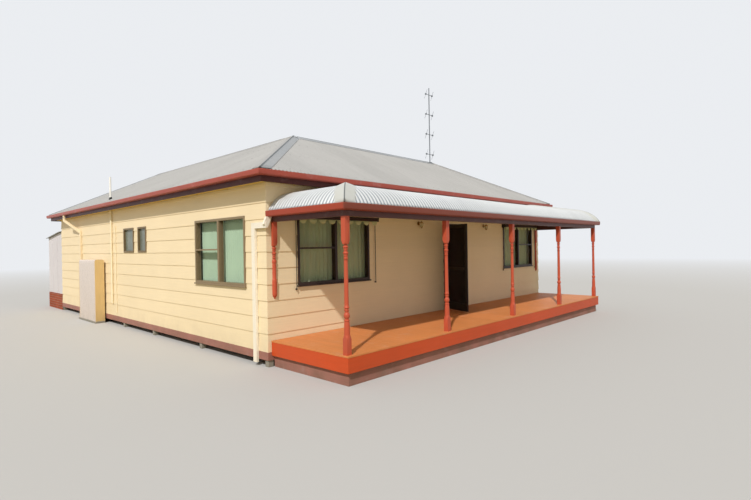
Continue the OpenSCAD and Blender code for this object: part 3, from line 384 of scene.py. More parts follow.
class Surface:
    """One material, with short ways to add nodes to it."""

    def __init__(self, name, sockets):
        self.material = bpy.data.materials.new(name)
        self.material.use_nodes = True
        self.tree = self.material.node_tree
        self.shader = self.tree.nodes["Principled BSDF"]
        for key, value in sockets.items():
            self.shader.inputs[key].default_value = value

    def add(self, kind, inputs=None, out=0, **settings):
        """Adds a node, sets or links its inputs and returns one of its outputs."""
        node = self.tree.nodes.new("ShaderNode" + kind)
        for key, value in settings.items():
            setattr(node, key, value)
        for key, value in (inputs or {}).items():
            if isinstance(value, bpy.types.NodeSocket):
                self.tree.links.new(value, node.inputs[key])
            else:
                node.inputs[key].default_value = value
        return node.outputs[out]

    def coordinates(self, stretch=(1, 1, 1), source="Object"):
        """Object or UV coordinates, multiplied by stretch."""
        base = self.add("TexCoord", out=source)
        return self.add("Mapping", {"Vector": base, "Scale": stretch})

    def noise(self, scale, stretch=(1, 1, 1), detail=4.0, source="Object", rough=0.55):
        """Noise from 0 to 1 at a scale in waves a metre."""
        where = self.coordinates(stretch, source)
        return self.add("TexNoise", {"Vector": where, "Scale": scale, "Detail": detail, "Roughness": rough})

    def wires(self, directions, scale, source="Object"):
        """Bands of waves in each direction, which cross as threads or wires do."""
        return [self.add("TexWave", {"Vector": self.coordinates(source=source), "Scale": scale},
                         bands_direction=direction) for direction in directions]

    def spread(self, value, low, high, to_low=0.0, to_high=1.0):
        """Maps a range to another one and holds it there."""
        return self.add("MapRange", {
            "Value": value, "From Min": low, "From Max": high, "To Min": to_low, "To Max": to_high})

    def sum(self, a, b, operation="ADD"):
        """Arithmetic on two values."""
        return self.add("Math", {0: a, 1: b}, operation=operation)

    def blend(self, share, a, b):
        """Colour between a and b."""
        opaque = [v if isinstance(v, bpy.types.NodeSocket) else (*v[:3], 1.0) for v in (a, b)]
        return self.add("Mix", {0: share, 6: opaque[0], 7: opaque[1]}, out=2, data_type="RGBA")

    def scaled(self, base, share):
        """A colour made lighter or darker."""
        first = base if isinstance(base, bpy.types.NodeSocket) else tuple(base[:3])
        return self.add("VectorMath", {0: first, "Scale": share}, operation="SCALE")

    def height(self, axis=2):
        """A coordinate of the object, 0 for X, 1 for Y and 2 for Z."""
        base = self.add("TexCoord", out="Object")
        return self.add("SeparateXYZ", {0: base}, out=axis)

    def use(self, **links):
        """Links colour, roughness and alpha to the shader."""
        names = {"colour": "Base Color", "roughness": "Roughness", "alpha": "Alpha", "metallic": "Metallic"}
        for key, value in links.items():
            self.tree.links.new(value, self.shader.inputs[names[key]])

    def relief(self, *layers):
        """Bumps of (height, depth in metres), each on top of the last."""
        last = None
        for height, depth in layers:
            inputs = {"Height": height, "Distance": depth, "Strength": 1.0}
            if last is not None:
                inputs["Normal"] = last
            last = self.add("Bump", inputs)
        self.tree.links.new(last, self.shader.inputs["Normal"])

    def varied(self, mottle, streak, stretch, tone):
        """A factor about 1 from broad blotches, stretched streaks and each piece's own tone."""
        broad = self.spread(self.noise(0.9, detail=3.0), 0.3, 0.7, 1 - mottle, 1 + mottle)
        lines = self.spread(self.noise(5.0, stretch), 0.3, 0.7, 1 - streak, 1 + streak)
        own = self.add("Attribute", attribute_name="tone", out=2)
        piece = self.sum(self.sum(own, tone, "MULTIPLY"), 1.0)
        return self.sum(self.sum(broad, lines, "MULTIPLY"), piece, "MULTIPLY")


BOARD_GRAIN = (0.35, 0.35, 9.0)
UPRIGHT_GRAIN = (7.0, 7.0, 0.4)
EVEN_GRAIN = (1.0, 1.0, 1.0)
PLANK_GRAIN = (6.0, 0.4, 6.0)
SHEET_COVER = 0.762
CAPPING_LENGTH = 1.8


def painted(name, base, grain=EVEN_GRAIN, gloss=0.5, mottle=0.035, streak=0.03, tone=1.0, dirt=0.0, worn=0.0,
            brush=0.0006, specular=0.22):
    """Paint with brush marks, faint blotches, grime near the ground and chalky worn patches."""
    s = Surface(name, {"Specular IOR Level": specular})
    paint = s.scaled(base, s.varied(mottle, streak, grain, tone))
    if worn:
        patches = s.spread(s.noise(3.5, detail=8.0, rough=0.68), 0.56, 0.7, 0.0, worn)
        chalk = tuple(0.72 * c + 0.28 * 0.62 for c in base)
        paint = s.blend(patches, paint, chalk)
    if dirt:
        low = s.spread(s.height(), 0.0, 0.85, 1.0, 0.0)
        splash = s.spread(s.noise(2.6, detail=7.0), 0.32, 0.72)
        share = s.sum(s.sum(s.sum(low, low, "MULTIPLY"), splash, "MULTIPLY"), dirt, "MULTIPLY")
        paint = s.blend(share, paint, colour("#6B5A48"))
    rough = s.spread(s.noise(14.0, grain, detail=5.0), 0.3, 0.7, gloss - 0.07, gloss + 0.09)
    s.use(colour=paint, roughness=rough)
    s.relief((s.noise(34.0, grain, detail=5.0), brush * 2.5), (s.noise(240.0, detail=2.0), brush * 0.35))
    return s.material


def two_paints(name, low, high, level, axis=2):
    """Paint of one colour below a place along an axis of the object and of another beyond it."""
    s = Surface(name, {"Specular IOR Level": 0.3})
    base = s.blend(s.spread(s.height(axis), level - 0.01, level + 0.01), low, high)
    s.use(colour=s.scaled(base, s.varied(0.03, 0.04, UPRIGHT_GRAIN, 1.0)),
          roughness=s.spread(s.noise(14.0, UPRIGHT_GRAIN, detail=5.0), 0.3, 0.7, 0.31, 0.47))
    s.relief((s.noise(34.0, UPRIGHT_GRAIN, detail=5.0), 0.0012))
    return s.material


def roofing(name, base, shade, sheet_width, metallic=0.2, rust=0.0, laps=True, wave=0.0, trough_shade=0.0, patch=1.0,
            fold=0.0, lee=None):
    """Weathered zinc-coated sheet: each sheet has its own tone, with streaks down the slope and dark laps.

    The UV map runs in metres across the sheets and up the slope. Troughs, half a wave off each crest, get a
    painted shade of blue-grey, which stands in for the dark stripes that light draws on corrugations, as far
    as the trough share says. A fold along the UV map's second zero gets a painted shade, dark in the crease
    as far out as fold says, and the side of it below zero has the colour lee, a painted light on that side's
    wings.
    """
    s = Surface(name, {"Metallic": metallic})
    place_uv = s.add("SeparateXYZ", {0: s.add("TexCoord", out="UV")}).node
    number = s.sum(place_uv.outputs[0], sheet_width, "DIVIDE")
    sheet = s.add("TexWhiteNoise", {"W": s.sum(number, 0.0, "FLOOR")}, noise_dimensions="1D")
    own = s.spread(sheet, 0.0, 1.0, 0.965, 1.03)
    streaks = s.spread(s.noise(1.0, (7.0, 0.55, 1.0), 6.0, "UV"), 0.3, 0.75, 1.035, 0.94)
    factor = s.sum(own, streaks, "MULTIPLY")
    if laps:
        inside = s.sum(number, 1.0, "FRACT")
        lap = s.spread(inside, 0.0, 0.012, 0.72, 1.0)
        factor = s.sum(factor, lap, "MULTIPLY")
    metal = s.blend(s.spread(s.noise(0.8, detail=6.0), 0.42, 0.68, 0.0, patch), base, shade)
    # Painted shade: the troughs are darkened towards a blue-grey, standing in for the dark stripes of light
    # on the corrugations.
    if trough_shade:
        from_trough = s.sum(s.sum(s.sum(place_uv.outputs[0], wave, "DIVIDE"), 1.0, "FRACT"), 0.5, "SUBTRACT")
        painted_trough_shade = s.spread(s.sum(from_trough, 0.0, "ABSOLUTE"), 0.05, 0.3, trough_shade, 0.0)
        metal = s.blend(painted_trough_shade, metal, colour("#5E6E80"))
    # Painted light: the wings on the lee side of the fold get a colour of their own, for the different light
    # on the two sides of a capping.
    if lee:
        metal = s.blend(s.spread(place_uv.outputs[1], -0.004, 0.004), lee, metal)
    # Painted shade: the fold is darkened towards a slate grey, where shade falls in the crease.
    if fold:
        from_fold = s.sum(place_uv.outputs[1], 0.0, "ABSOLUTE")
        metal = s.blend(s.spread(from_fold, 0.6 * fold, fold, 0.8, 0.0), metal, colour("#4A5256"))
    metal = s.scaled(metal, factor)
    if rust:
        spots = s.spread(s.noise(4.0, detail=9.0, rough=0.7), 0.66, 0.74, 0.0, rust)
        metal = s.blend(spots, metal, colour("#8A5A3C"))
    rough = s.spread(s.noise(11.0, detail=5.0), 0.3, 0.7, 0.42, 0.6)
    s.use(colour=metal, roughness=rough)
    s.relief((s.noise(60.0, detail=4.0), 0.0005))
    return s.material


def metal_finish(name, base, rough=0.35, metallic=0.85, tarnish="#4A4036", share=0.35):
    """Metal with tarnish in patches and fine scratches."""
    s = Surface(name, {"Metallic": metallic})
    patch = s.spread(s.noise(24.0, detail=7.0), 0.45, 0.72, 0.0, share)
    s.use(
        colour=s.blend(patch, base, colour(tarnish)),
        roughness=s.spread(s.noise(90.0, detail=4.0), 0.3, 0.7, rough - 0.08, rough + 0.14),
    )
    s.relief((s.noise(180.0, detail=3.0), 0.0004))
    return s.material


def pane_glass(name, tint, alpha, frosted=0.0):
    """Window glass that shows the room behind it, with a faint film of salt."""
    s = Surface(name, {"IOR": 1.5, "Specular IOR Level": 0.4, "Alpha": alpha})
    film = s.spread(s.noise(3.0, detail=6.0), 0.35, 0.75)
    light = tuple(min(1.0, 1.5 * c + 0.02) for c in tint)
    rough = s.spread(s.noise(2.2, detail=5.0), 0.3, 0.7, 0.02 + frosted, 0.05 + 1.3 * frosted)
    s.use(colour=s.blend(film, tint, light), roughness=rough)
    if frosted:
        s.relief((s.noise(150.0, detail=2.0), 0.0015))
    return s.material


def cloth(name, base, thread=700.0, sheen=0.2, mottle=0.06):
    """Woven cloth: crossed threads along the UV map, which runs in metres, and faint uneven fading."""
    s = Surface(name, {"Sheen Weight": sheen, "Roughness": 0.9, "Specular IOR Level": 0.25})
    warp, weft = s.wires("XY", thread / (2 * math.pi), "UV")
    weave = s.sum(warp, weft, "MULTIPLY")
    factor = s.sum(s.spread(weave, 0.0, 1.0, 0.94, 1.04),
                   s.spread(s.noise(1.6, detail=5.0), 0.3, 0.7, 1 - mottle, 1 + mottle), "MULTIPLY")
    s.use(colour=s.scaled(base, factor))
    s.relief((weave, 0.0003))
    return s.material


def brickwork(name, base):
    """Fired clay: each brick has its own tone, with dark specks and a sandy face."""
    s = Surface(name, {"Specular IOR Level": 0.2})
    clay = s.scaled(base, s.varied(0.07, 0.05, EVEN_GRAIN, 1.0))
    specks = s.spread(s.noise(85.0, detail=4.0), 0.62, 0.7, 0.0, 0.6)
    s.use(colour=s.blend(specks, clay, colour("#5A3026")),
          roughness=s.spread(s.noise(40.0), 0.3, 0.7, 0.8, 0.95))
    s.relief((s.noise(60.0, detail=6.0), 0.003), (s.noise(350.0, detail=2.0), 0.0008))
    return s.material


def mineral(name, base, speck="#77736B"):
    """Concrete or mortar with aggregate, pores and damp at its foot."""
    s = Surface(name, {"Specular IOR Level": 0.2})
    body = s.scaled(base, s.varied(0.08, 0.05, EVEN_GRAIN, 1.0))
    stones = s.spread(s.noise(120.0, detail=3.0), 0.55, 0.7, 0.0, 0.5)
    damp = s.spread(s.height(), 0.0, 0.25, 0.35, 0.0)
    mixed = s.blend(damp, s.blend(stones, body, colour(speck)), colour("#5D574C"))
    s.use(colour=mixed, roughness=s.spread(s.noise(20.0), 0.3, 0.7, 0.85, 0.97))
    s.relief((s.noise(45.0, detail=7.0), 0.004), (s.noise(300.0, detail=2.0), 0.001))
    return s.material


def bare_timber(name, base):
    """Oiled floor boards: growth lines stretched along Y and a tone of their own."""
    s = Surface(name, {})
    rings = s.noise(22.0, (1.0, 0.04, 1.0), detail=6.0)
    body = s.scaled(base, s.varied(0.06, 0.08, (8.0, 0.4, 8.0), 1.0))
    s.use(colour=s.blend(s.spread(rings, 0.5, 0.62, 0.0, 0.5), body, colour("#6E4626")),
          roughness=s.spread(s.noise(12.0), 0.3, 0.7, 0.4, 0.6))
    s.relief((rings, 0.0012))
    return s.material


def mesh_screen(name, base):
    """Insect screen: crossed wires a little apart, dark and dusty, which let some light through."""
    s = Surface(name, {"Alpha": 0.86, "Specular IOR Level": 0.2})
    wires = s.wires("XYZ", 130.0)
    weave = s.sum(s.sum(wires[0], wires[1]), wires[2])
    dust = s.spread(s.noise(3.0, (1.0, 1.0, 0.5), detail=6.0), 0.35, 0.8, 0.0, 0.45)
    s.use(colour=s.blend(dust, base, colour("#3A352E")),
          roughness=s.spread(s.noise(8.0), 0.3, 0.7, 0.65, 0.85))
    s.relief((weave, 0.0004))
    return s.material


FINISHES = {}


def sheet_wave():
    """Distance between crests of the roof sheets."""
    return bpy.context.scene.beach_house_sizes.wave


def finish(name):
    """A finish by name, made when it is first asked for."""
    if name not in FINISHES:
        FINISHES[name] = RECIPES[name](bpy.context.scene.beach_house_colours)
    return FINISHES[name]


RECIPES = {
    "boards": lambda c: painted("Cream boards", c.boards, BOARD_GRAIN, 0.5, 0.025, 0.02, dirt=0.35),
    # Painted shade: the eaves lining's cream is darkened and yellowed, standing in for the dim light under
    # the eaves.
    "shaded_soffit": lambda c: painted("Cream eaves lining", c.shaded_soffit, BOARD_GRAIN, 0.55),
    "lining": lambda c: painted("Inside lining", c.lining, UPRIGHT_GRAIN, 0.6),
    "base": lambda c: painted("Red base board", c.plinth, BOARD_GRAIN, 0.5, 0.08, 0.06, dirt=0.6, worn=0.5),
    "fascia": lambda c: painted("Maroon fascia", c.fascia, BOARD_GRAIN, 0.42, 0.04, 0.04, worn=0.35),
    "beam": lambda c: painted("Maroon beam", c.beam, BOARD_GRAIN, 0.42, 0.04, 0.04, worn=0.25),
    "gutter": lambda c: painted("Rust gutter", c.gutter, BOARD_GRAIN, 0.36, 0.06, 0.05, worn=0.45),
    # Painted shade: the front run of the verandah gutter gets a darker red than its ends, standing in for the
    # shade on it.
    "v_gutter": lambda c: two_paints("Verandah gutter", c.v_gutter_shaded_front, c.v_gutter,
                                     float(ORIGIN[1] + cad_box("verandah_gutter")[0][1]) + 0.03, 1),
    "posts": lambda c: painted("Rust posts", c.posts, UPRIGHT_GRAIN, 0.34, 0.04, 0.05, dirt=0.2),
    "deck": lambda c: painted("Deck paint", c.deck, PLANK_GRAIN, 0.5, 0.06, 0.04, worn=0.4),
    "deck_edge": lambda c: painted("Deck edge paint", c.deck_edge, BOARD_GRAIN, 0.42, 0.05, 0.04, dirt=0.15),
    "plinth": lambda c: painted("Plinth paint", c.plinth, BOARD_GRAIN, 0.62, 0.1, 0.07, dirt=0.7, worn=0.6),
    # The roof and verandah sheets get painted shade in their troughs, strongest on the verandah.
    "roof": lambda c: roofing("Roof sheet", c.roof, c.roof_shade, SHEET_COVER, 0.1, wave=sheet_wave(),
                              trough_shade=0.12, patch=0.6),
    "bullnose": lambda c: roofing("Verandah sheet", c.bullnose, c.bullnose_shade, SHEET_COVER, 0.25,
                                  wave=sheet_wave(), trough_shade=0.7, patch=0.6),
    # The cappings and flashings get a painted shade along their fold, and the cappings a painted light on
    # their lee wings.
    "capping": lambda c: roofing("Roof capping", c.capping, c.capping_shade, CAPPING_LENGTH, 0.3, laps=False,
                                 fold=0.02, lee=c.capping_lee),
    "flashing": lambda c: roofing("Hip flashing", c.flashing, c.bullnose, CAPPING_LENGTH, 0.15, laps=False,
                                  fold=0.016),
    "front_frames": lambda c: painted("Dark window frames", c.front_frames, UPRIGHT_GRAIN, 0.35),
    "side_frames": lambda c: painted("Taupe window frame", c.side_frames, UPRIGHT_GRAIN, 0.4),
    "small_frames": lambda c: painted("Bronze window frames", c.small_frames, UPRIGHT_GRAIN, 0.4),
    "sill": lambda c: painted("Maroon sill", c.beam, BOARD_GRAIN, 0.45, worn=0.5),
    "glass": lambda c: pane_glass("Window glass", c.glass, 0.06),
    "obscure": lambda c: pane_glass("Obscure glass", c.obscure, 0.93, 0.16),
    "net": lambda c: cloth("Net curtain", c.net, 500.0),
    "blind": lambda c: cloth("Blind cloth", c.blind, 400.0, 0.1),
    "canvas": lambda c: cloth("Awning canvas", c.canvas, 350.0, 0.1, 0.12),
    "trim": lambda c: cloth("Awning trim", c.trim, 350.0, 0.1, 0.12),
    "rail": lambda c: painted("Curtain rail", colour("#DEDAD0"), EVEN_GRAIN, 0.35),
    "dark_metal": lambda c: metal_finish("Dark metal", colour("#2A2421"), 0.42, 0.5, "#4A3222"),
    "door_frame": lambda c: painted("Door frame", c.door_frame, UPRIGHT_GRAIN, 0.4),
    "screen": lambda c: painted("Screen door", c.screen, UPRIGHT_GRAIN, 0.4),
    "mesh": lambda c: mesh_screen("Screen mesh", colour("#191715")),
    "front_door": lambda c: painted("Front door", c.gutter, UPRIGHT_GRAIN, 0.35),
    "brass": lambda c: metal_finish("Aged brass", c.brass, 0.32, 0.9, "#5A4520", 0.5),
    "lamp_glass": lambda c: pane_glass("Lamp glass", colour("#D9CDA6"), 0.55, 0.1),
    "pipe": lambda c: two_paints("Pipe paint", c.pipe, colour("#F8F6F0"), float(ORIGIN[2]) + SOFFIT_Z),
    "rubber": lambda c: painted("Pipe collar", colour("#2B2B2C"), EVEN_GRAIN, 0.7),
    "heater": lambda c: painted("Enamelled steel", c.heater, UPRIGHT_GRAIN, 0.3, 0.02, 0.04, dirt=0.25),
    # Painted shade in part: the end plates' tan is their own paint and also stands in for the warm shade on
    # the end that faces the front.
    "heater_end_tan_and_shade": lambda c: painted("Enamelled ends", c.heater_end_tan_and_shade, UPRIGHT_GRAIN, 0.35, 0.03, 0.04,
                                    dirt=0.25),
    "downpipe": lambda c: two_paints("Downpipe paint", c.downpipe, c.boards,
                                     float(ORIGIN[1]) + WING_D / 2, 1),
    "lean_to": lambda c: painted("Lean-to sheet", c.lean_to, UPRIGHT_GRAIN, 0.55, 0.04, 0.04, dirt=0.3),
    "lean_to_roof": lambda c: roofing("Lean-to roof", c.roof, c.roof_shade, SHEET_COVER, rust=0.5),
    "brick": lambda c: brickwork("Base brick", c.brick),
    "mortar": lambda c: mineral("Mortar", colour("#A49C8E")),
    "concrete": lambda c: mineral("Concrete", colour("#A9A59C")),
    "floor": lambda c: bare_timber("Floor boards", colour("#B0804E")),
    "ceiling": lambda c: painted("Ceiling", colour("#E4E0D4"), EVEN_GRAIN, 0.7),
    "aerial": lambda c: metal_finish("Aerial metal", colour("#84888C"), 0.4, 0.8),
    "screw": lambda c: metal_finish("Roof screws", colour("#9A9C9C"), 0.45, 0.6),
    # The rafters share the eaves lining's cream with its painted shade.
    "rafter": lambda c: painted("Rafter paint", c.shaded_soffit, BOARD_GRAIN, 0.6),
}


# Stage

CAMERA_AT = np.array([-4.58673, -6.88979, 1.55633])
CAMERA_YAW = math.radians(46.517)
CAMERA_PITCH = math.radians(-0.313)
CAMERA_ROLL = math.radians(-0.968)
CAMERA_LENS = 22.914
SENSOR = 36.0
SUN_FROM = (-0.870, -0.492)
STAGE_SIZE = 260.0
FLOOR_FADES = (16.0, 60.0)
WARM_WHITE = (1.0, 0.97, 0.93)
SEEN_RAYS = ("Is Camera Ray", "Is Glossy Ray", "Is Transmission Ray")


def set_camera():
    """Camera at the photo's viewing angle: yaw from +Y towards +X, then pitch, then roll."""
    yaw, pitch, roll = CAMERA_YAW, CAMERA_PITCH, CAMERA_ROLL
    ahead = Vector((math.sin(yaw) * math.cos(pitch), math.cos(yaw) * math.cos(pitch), math.sin(pitch)))
    right = Vector((math.cos(yaw), -math.sin(yaw), 0.0))
    up = right.cross(ahead)
    right_rolled = math.cos(roll) * right + math.sin(roll) * up
    up_rolled = -math.sin(roll) * right + math.cos(roll) * up
    turned = Matrix((right_rolled, up_rolled, -ahead)).transposed().to_4x4()
    data = bpy.data.cameras.new("Camera")
    data.lens = CAMERA_LENS
    data.sensor_width = SENSOR
    data.sensor_fit = "HORIZONTAL"
    data.clip_end = 1000.0
    camera = linked("Camera", data)
    camera.matrix_world = Matrix.Translation(CAMERA_AT + ORIGIN) @ turned
    bpy.context.scene.camera = camera


def set_light(settings):
    """Even pale surroundings and one wide soft lamp like a low sun from the left of the front."""
    world = bpy.data.worlds.new("Studio")
    bpy.context.scene.world = world
    world.use_nodes = True
    tree = world.node_tree
    nodes, links = tree.nodes, tree.links
    nodes.clear()
    path = nodes.new("ShaderNodeLightPath")
    seen = path.outputs[SEEN_RAYS[0]]
    for ray in SEEN_RAYS[1:]:
        either = nodes.new("ShaderNodeMath")
        either.operation = "MAXIMUM"
        links.new(seen, either.inputs[0])
        links.new(path.outputs[ray], either.inputs[1])
        seen = either.outputs[0]
    mix = nodes.new("ShaderNodeMixShader")
    links.new(seen, mix.inputs[0])
    shades = ((WARM_WHITE, settings.world_light), (settings.backdrop, 1.0))
    for number, (shade, strength) in enumerate(shades):
        background = nodes.new("ShaderNodeBackground")
        background.inputs["Color"].default_value = (*shade, 1.0)
        background.inputs["Strength"].default_value = strength
        links.new(background.outputs[0], mix.inputs[1 + number])
    output = nodes.new("ShaderNodeOutputWorld")
    links.new(mix.outputs[0], output.inputs["Surface"])
    lamp = bpy.data.lights.new("Soft lamp", "SUN")
    lamp.energy = settings.lamp_light
    lamp.angle = settings.lamp_width
    lamp.color = WARM_WHITE
    sun = linked("Soft lamp", lamp)
    level = math.cos(settings.lamp_height)
    direction = Vector((SUN_FROM[0] * level, SUN_FROM[1] * level, math.sin(settings.lamp_height)))
    sun.rotation_euler = direction.to_track_quat("Z", "Y").to_euler()


def set_floor(settings):
    """A plain pale floor that fades into the backdrop, with its own colour for the light it throws up."""
    mesh = bpy.data.meshes.new("Studio floor")
    half = STAGE_SIZE / 2
    corners = [(-half, -half, 0), (half, -half, 0), (half, half, 0), (-half, half, 0)]
    mesh.from_pydata(corners, [], [(0, 1, 2, 3)])
    floor = linked("Studio_floor", mesh)
    s = Surface("Studio floor", {"Roughness": 0.9, "Specular IOR Level": 0.1})
    seen = s.add("LightPath", out=SEEN_RAYS[0])
    for ray in SEEN_RAYS[1:]:
        seen = s.sum(seen, s.add("LightPath", out=ray), "MAXIMUM")
    s.use(colour=s.blend(seen, settings.bounce, settings.floor))
    glow = s.add("Emission", {"Color": (*settings.backdrop, 1.0), "Strength": 1.0})
    distance = s.add("VectorMath", {0: s.add("TexCoord", out="Object")}, out=1, operation="LENGTH")
    far = s.spread(distance, *FLOOR_FADES)
    mixed = s.add("MixShader", {0: far, 1: s.shader.outputs[0], 2: glow})
    s.tree.links.new(mixed, s.tree.nodes["Material Output"].inputs["Surface"])
    mesh.materials.append(s.material)


# Walls

WALLS = [
    ((0, 0), (1, 0), (0, 1), FRONT_W, 1, 1),
    ((FRONT_W, 0), (0, 1), (-1, 0), WING_D, 1, 1),
    ((FRONT_W, WING_D), (-1, 0), (0, -1), FRONT_W - WING_D, 1, -1),
    ((WING_D, WING_D), (0, 1), (-1, 0), SIDE_L - WING_D, -1, 1),
    ((WING_D, SIDE_L), (-1, 0), (0, -1), WING_D, 1, 1),
    ((0, SIDE_L), (0, -1), (1, 0), SIDE_L, 1, 1),
]
SILL_SIDE = 0.02
SILL_DROP = 0.025
ON_WALL = 0.2
NARROWEST = 0.3
BOARDS_TOP = SOFFIT_Z + 0.02
BOARD_TONE = 0.012


def wall_openings(start, along, inward, length):
    """Openings of one wall as (from, to, low, high), taken from the frames that stand in it."""
    start, along, inward = np.array(start), np.array(along), np.array(inward)
    found = []
    nodes = [("window_frames", 1), ("side_window_frame", 1), ("small_window_frames", 0), ("door_frame", 0)]
    for node, has_sill in nodes:
        for low, high in solid_boxes(node):
            middle = (low + high)[:2] / 2 - start
            across = abs(np.dot(middle, inward))
            ends = sorted((np.dot(low[:2] - start, along), np.dot(high[:2] - start, along)))
            wide = abs(np.dot(high[:2] - low[:2], along))
            if across > ON_WALL or wide < NARROWEST or not 0 < np.dot(middle, along) < length:
                continue
            side, drop = SILL_SIDE * has_sill, SILL_DROP * has_sill
            base = WALL_LOW if node == "door_frame" else low[2] + drop
            found.append((ends[0] + side, ends[1] - side, base, high[2]))
    return found


def board_rows(sizes):
    """Heights of the boards' lower edges, from the lowest one to just over the eaves lining."""
    count = math.ceil((BOARDS_TOP - sizes.first_lap) / sizes.exposure)
    laps = sizes.first_lap + sizes.exposure * np.arange(count)
    return np.concatenate([[WALL_LOW], laps, [BOARDS_TOP]])


def weatherboards(sizes):
    """Boards that lean out: a face goes from depth 0 at its lower edge to the lap's depth at its upper edge.

    Every row is cut at openings into spans, and a span is a closed wedge whose back lies board thickness in.
    A corner is mitred by starting each depth as far along the wall as it lies in.
    """
    rows = board_rows(sizes)
    back = sizes.board_thickness
    chance = np.random.default_rng(7)
    made = []
    for wall in WALLS:
        start, along, inward, length, turn_start, turn_end = wall
        holes = wall_openings(start, along, inward, length)
        levels = np.unique(np.round(np.concatenate([rows, [h for o in holes for h in o[2:]]]), 5))
        levels = levels[levels <= rows[-1] + 1e-6]
        row_tone = chance.uniform(-BOARD_TONE, BOARD_TONE, len(rows))
        corners, tones = [], []
        for low, high in zip(levels[:-1], levels[1:]):
            row = int(np.searchsorted(rows, (low + high) / 2)) - 1
            lean = sizes.lap_depth / (rows[row + 1] - rows[row])
            depth = [lean * (low - rows[row]), lean * (high - rows[row])]
            cuts = sorted((o[0], o[1]) for o in holes if o[2] <= low + 1e-4 and o[3] >= high - 1e-4)
            edges = [None] + [v for cut in cuts for v in cut] + [None]
            for first, last in zip(edges[::2], edges[1::2]):
                section = []
                for d, z in ((depth[0], low), (depth[1], high), (back, high), (back, low)):
                    s0 = turn_start * d if first is None else first
                    s1 = length - turn_end * d if last is None else last
                    section.append(((s0, d, z), (s1, d, z)))
                corners.append(section)
                tones.append(row_tone[row])
        corners = np.array(corners)
        flat = corners[..., 0:1] * np.array(along) + corners[..., 1:2] * np.array(inward) + np.array(start)
        points = np.concatenate([flat, corners[..., 2:3]], axis=-1)
        index = (np.arange(len(points)) * 8)[:, None, None]
        ring = [[0, 2, 3, 1], [2, 4, 5, 3], [4, 6, 7, 5], [6, 0, 1, 7], [0, 6, 4, 2], [1, 3, 5, 7]]
        uv = stacked(corners[..., 0], corners[..., 2])
        made.append(Shape(points, [(index + np.array(ring)[None]).reshape(-1, 4)], uv, np.repeat(tones, 8)))
    return joined(made)


def make_walls():
    """Outside boards, base board, frames behind them, floor and ceiling."""
    sizes = bpy.context.scene.beach_house_sizes
    place("Weatherboards", weatherboards(sizes), "boards",
          replaces="wall_boards", outward=False)
    for node in ("front_wall_left", "front_wall_right", "front_wall_over_door", "left_wall", "right_wall",
                 "inner_front_wall", "inner_left_wall", "rear_wall"):
        dress(node, "lining")
    for node, look, edges in (("base_boards", "base", 0.003), ("floor", "floor", 0.0),
                              ("ceiling", "ceiling", 0.0), ("stumps", "concrete", 0.006)):
        dress(node, look, edges)


# Main roof

STEPS_A_WAVE = 8
SHEET_METAL = 0.0012
CAPPING_METAL = 0.0016
FLASHING_METAL = 0.0014
BATTENS = (-0.019, -0.058)
CAPPING_LIFT = 0.003
SHORT_ROW = 0.004
SCREW_CREST = 3
SCREWS_FROM_EAVE, SCREWS_FROM_RIDGE, SCREWS_FROM_HIP = 0.12, 0.1, 0.25
COVER_WIDTH, COVER_DEPTH, COVER_PITCH, COVER_EDGE = 0.042, 0.008, 1.2, 0.006
BEAD, COVE, FRONT_LEAN, BACK_SHARE = 0.010, 0.024, 0.028, 0.72


def roof_height(run):
    """Height of the roof plane at a plan distance in from the eave."""
    return RIDGE_Z - RISE * (ROOF_RUN - run)


def slopes():
    """Each slope's name, eave start, way along the eave, way up the roof, eave length and how its ends run.

    An end runs 1 for a hip that leans in, and -1 for a valley that leans out.
    """
    e = EAVE_OUT
    right, rear, inner = FRONT_W + e, SIDE_L + e, WING_D + e
    return [
        ("roof_front", (-e, -e), (1, 0), (0, 1), FRONT_W + 2 * e, 1, 1),
        ("roof_left", (-e, rear), (0, -1), (1, 0), SIDE_L + 2 * e, 1, 1),
        ("roof_inner_front", (right, inner), (-1, 0), (0, -1), right - inner, 1, -1),
        ("roof_inner_left", (inner, inner), (0, 1), (-1, 0), rear - inner, -1, 1),
        ("roof_hip_ends", (right, -e), (0, 1), (-1, 0), WING_D + 2 * e, 1, 1),
        ("roof_hip_ends", (inner, rear), (-1, 0), (0, -1), WING_D + 2 * e, 1, 1),
    ]


def slope_limits(s, length, end_start, end_end):
    """Lowest and highest run of a slope at places s along its eave."""
    low = np.zeros_like(s)
    high = np.full_like(s, ROOF_RUN)
    for end, inside in ((end_start, s), (end_end, length - s)):
        if end > 0:
            high = np.minimum(high, inside)
        else:
            low = np.maximum(low, -inside)
    return low, high


def on_slope(start, along, up, s, run, lift):
    """Points at s along the eave and run up the roof, lifted over the roof plane."""
    plan = np.array(start) + s[..., None] * np.array(along) + run[..., None] * np.array(up)
    return np.concatenate([plan, (roof_height(run) + lift)[..., None]], axis=-1)


def corrugated_slope(slope, sizes):
    """A sheet whose height is lifted by a cosine of the distance along the eave, cut along hips and valleys.

    A short row at each end keeps the shading of the rest even where the cut is slanted.
    """
    _, start, along, up, length, end_start, end_end = slope
    step = sizes.wave / STEPS_A_WAVE
    s = np.arange(-ROOF_RUN if end_start < 0 else step, length + ROOF_RUN if end_end < 0 else length, step)
    low, high = slope_limits(s, length, end_start, end_end)
    keep = high - low > SHORT_ROW / 2
    s, low, high = s[keep], low[keep], high[keep]
    row = np.minimum(SHORT_ROW, (high - low) / 4)
    run = stacked(low, low + row, high - row, high)
    along_s = np.broadcast_to(s[:, None], run.shape)
    lift = -sizes.sheet_room / 2 + sizes.wave_height / 2 * np.cos(2 * math.pi * along_s / sizes.wave)
    uv = stacked(along_s, run / math.cos(ROOF_PITCH))
    return grid(on_slope(start, along, up, along_s, run, lift), uv=uv)


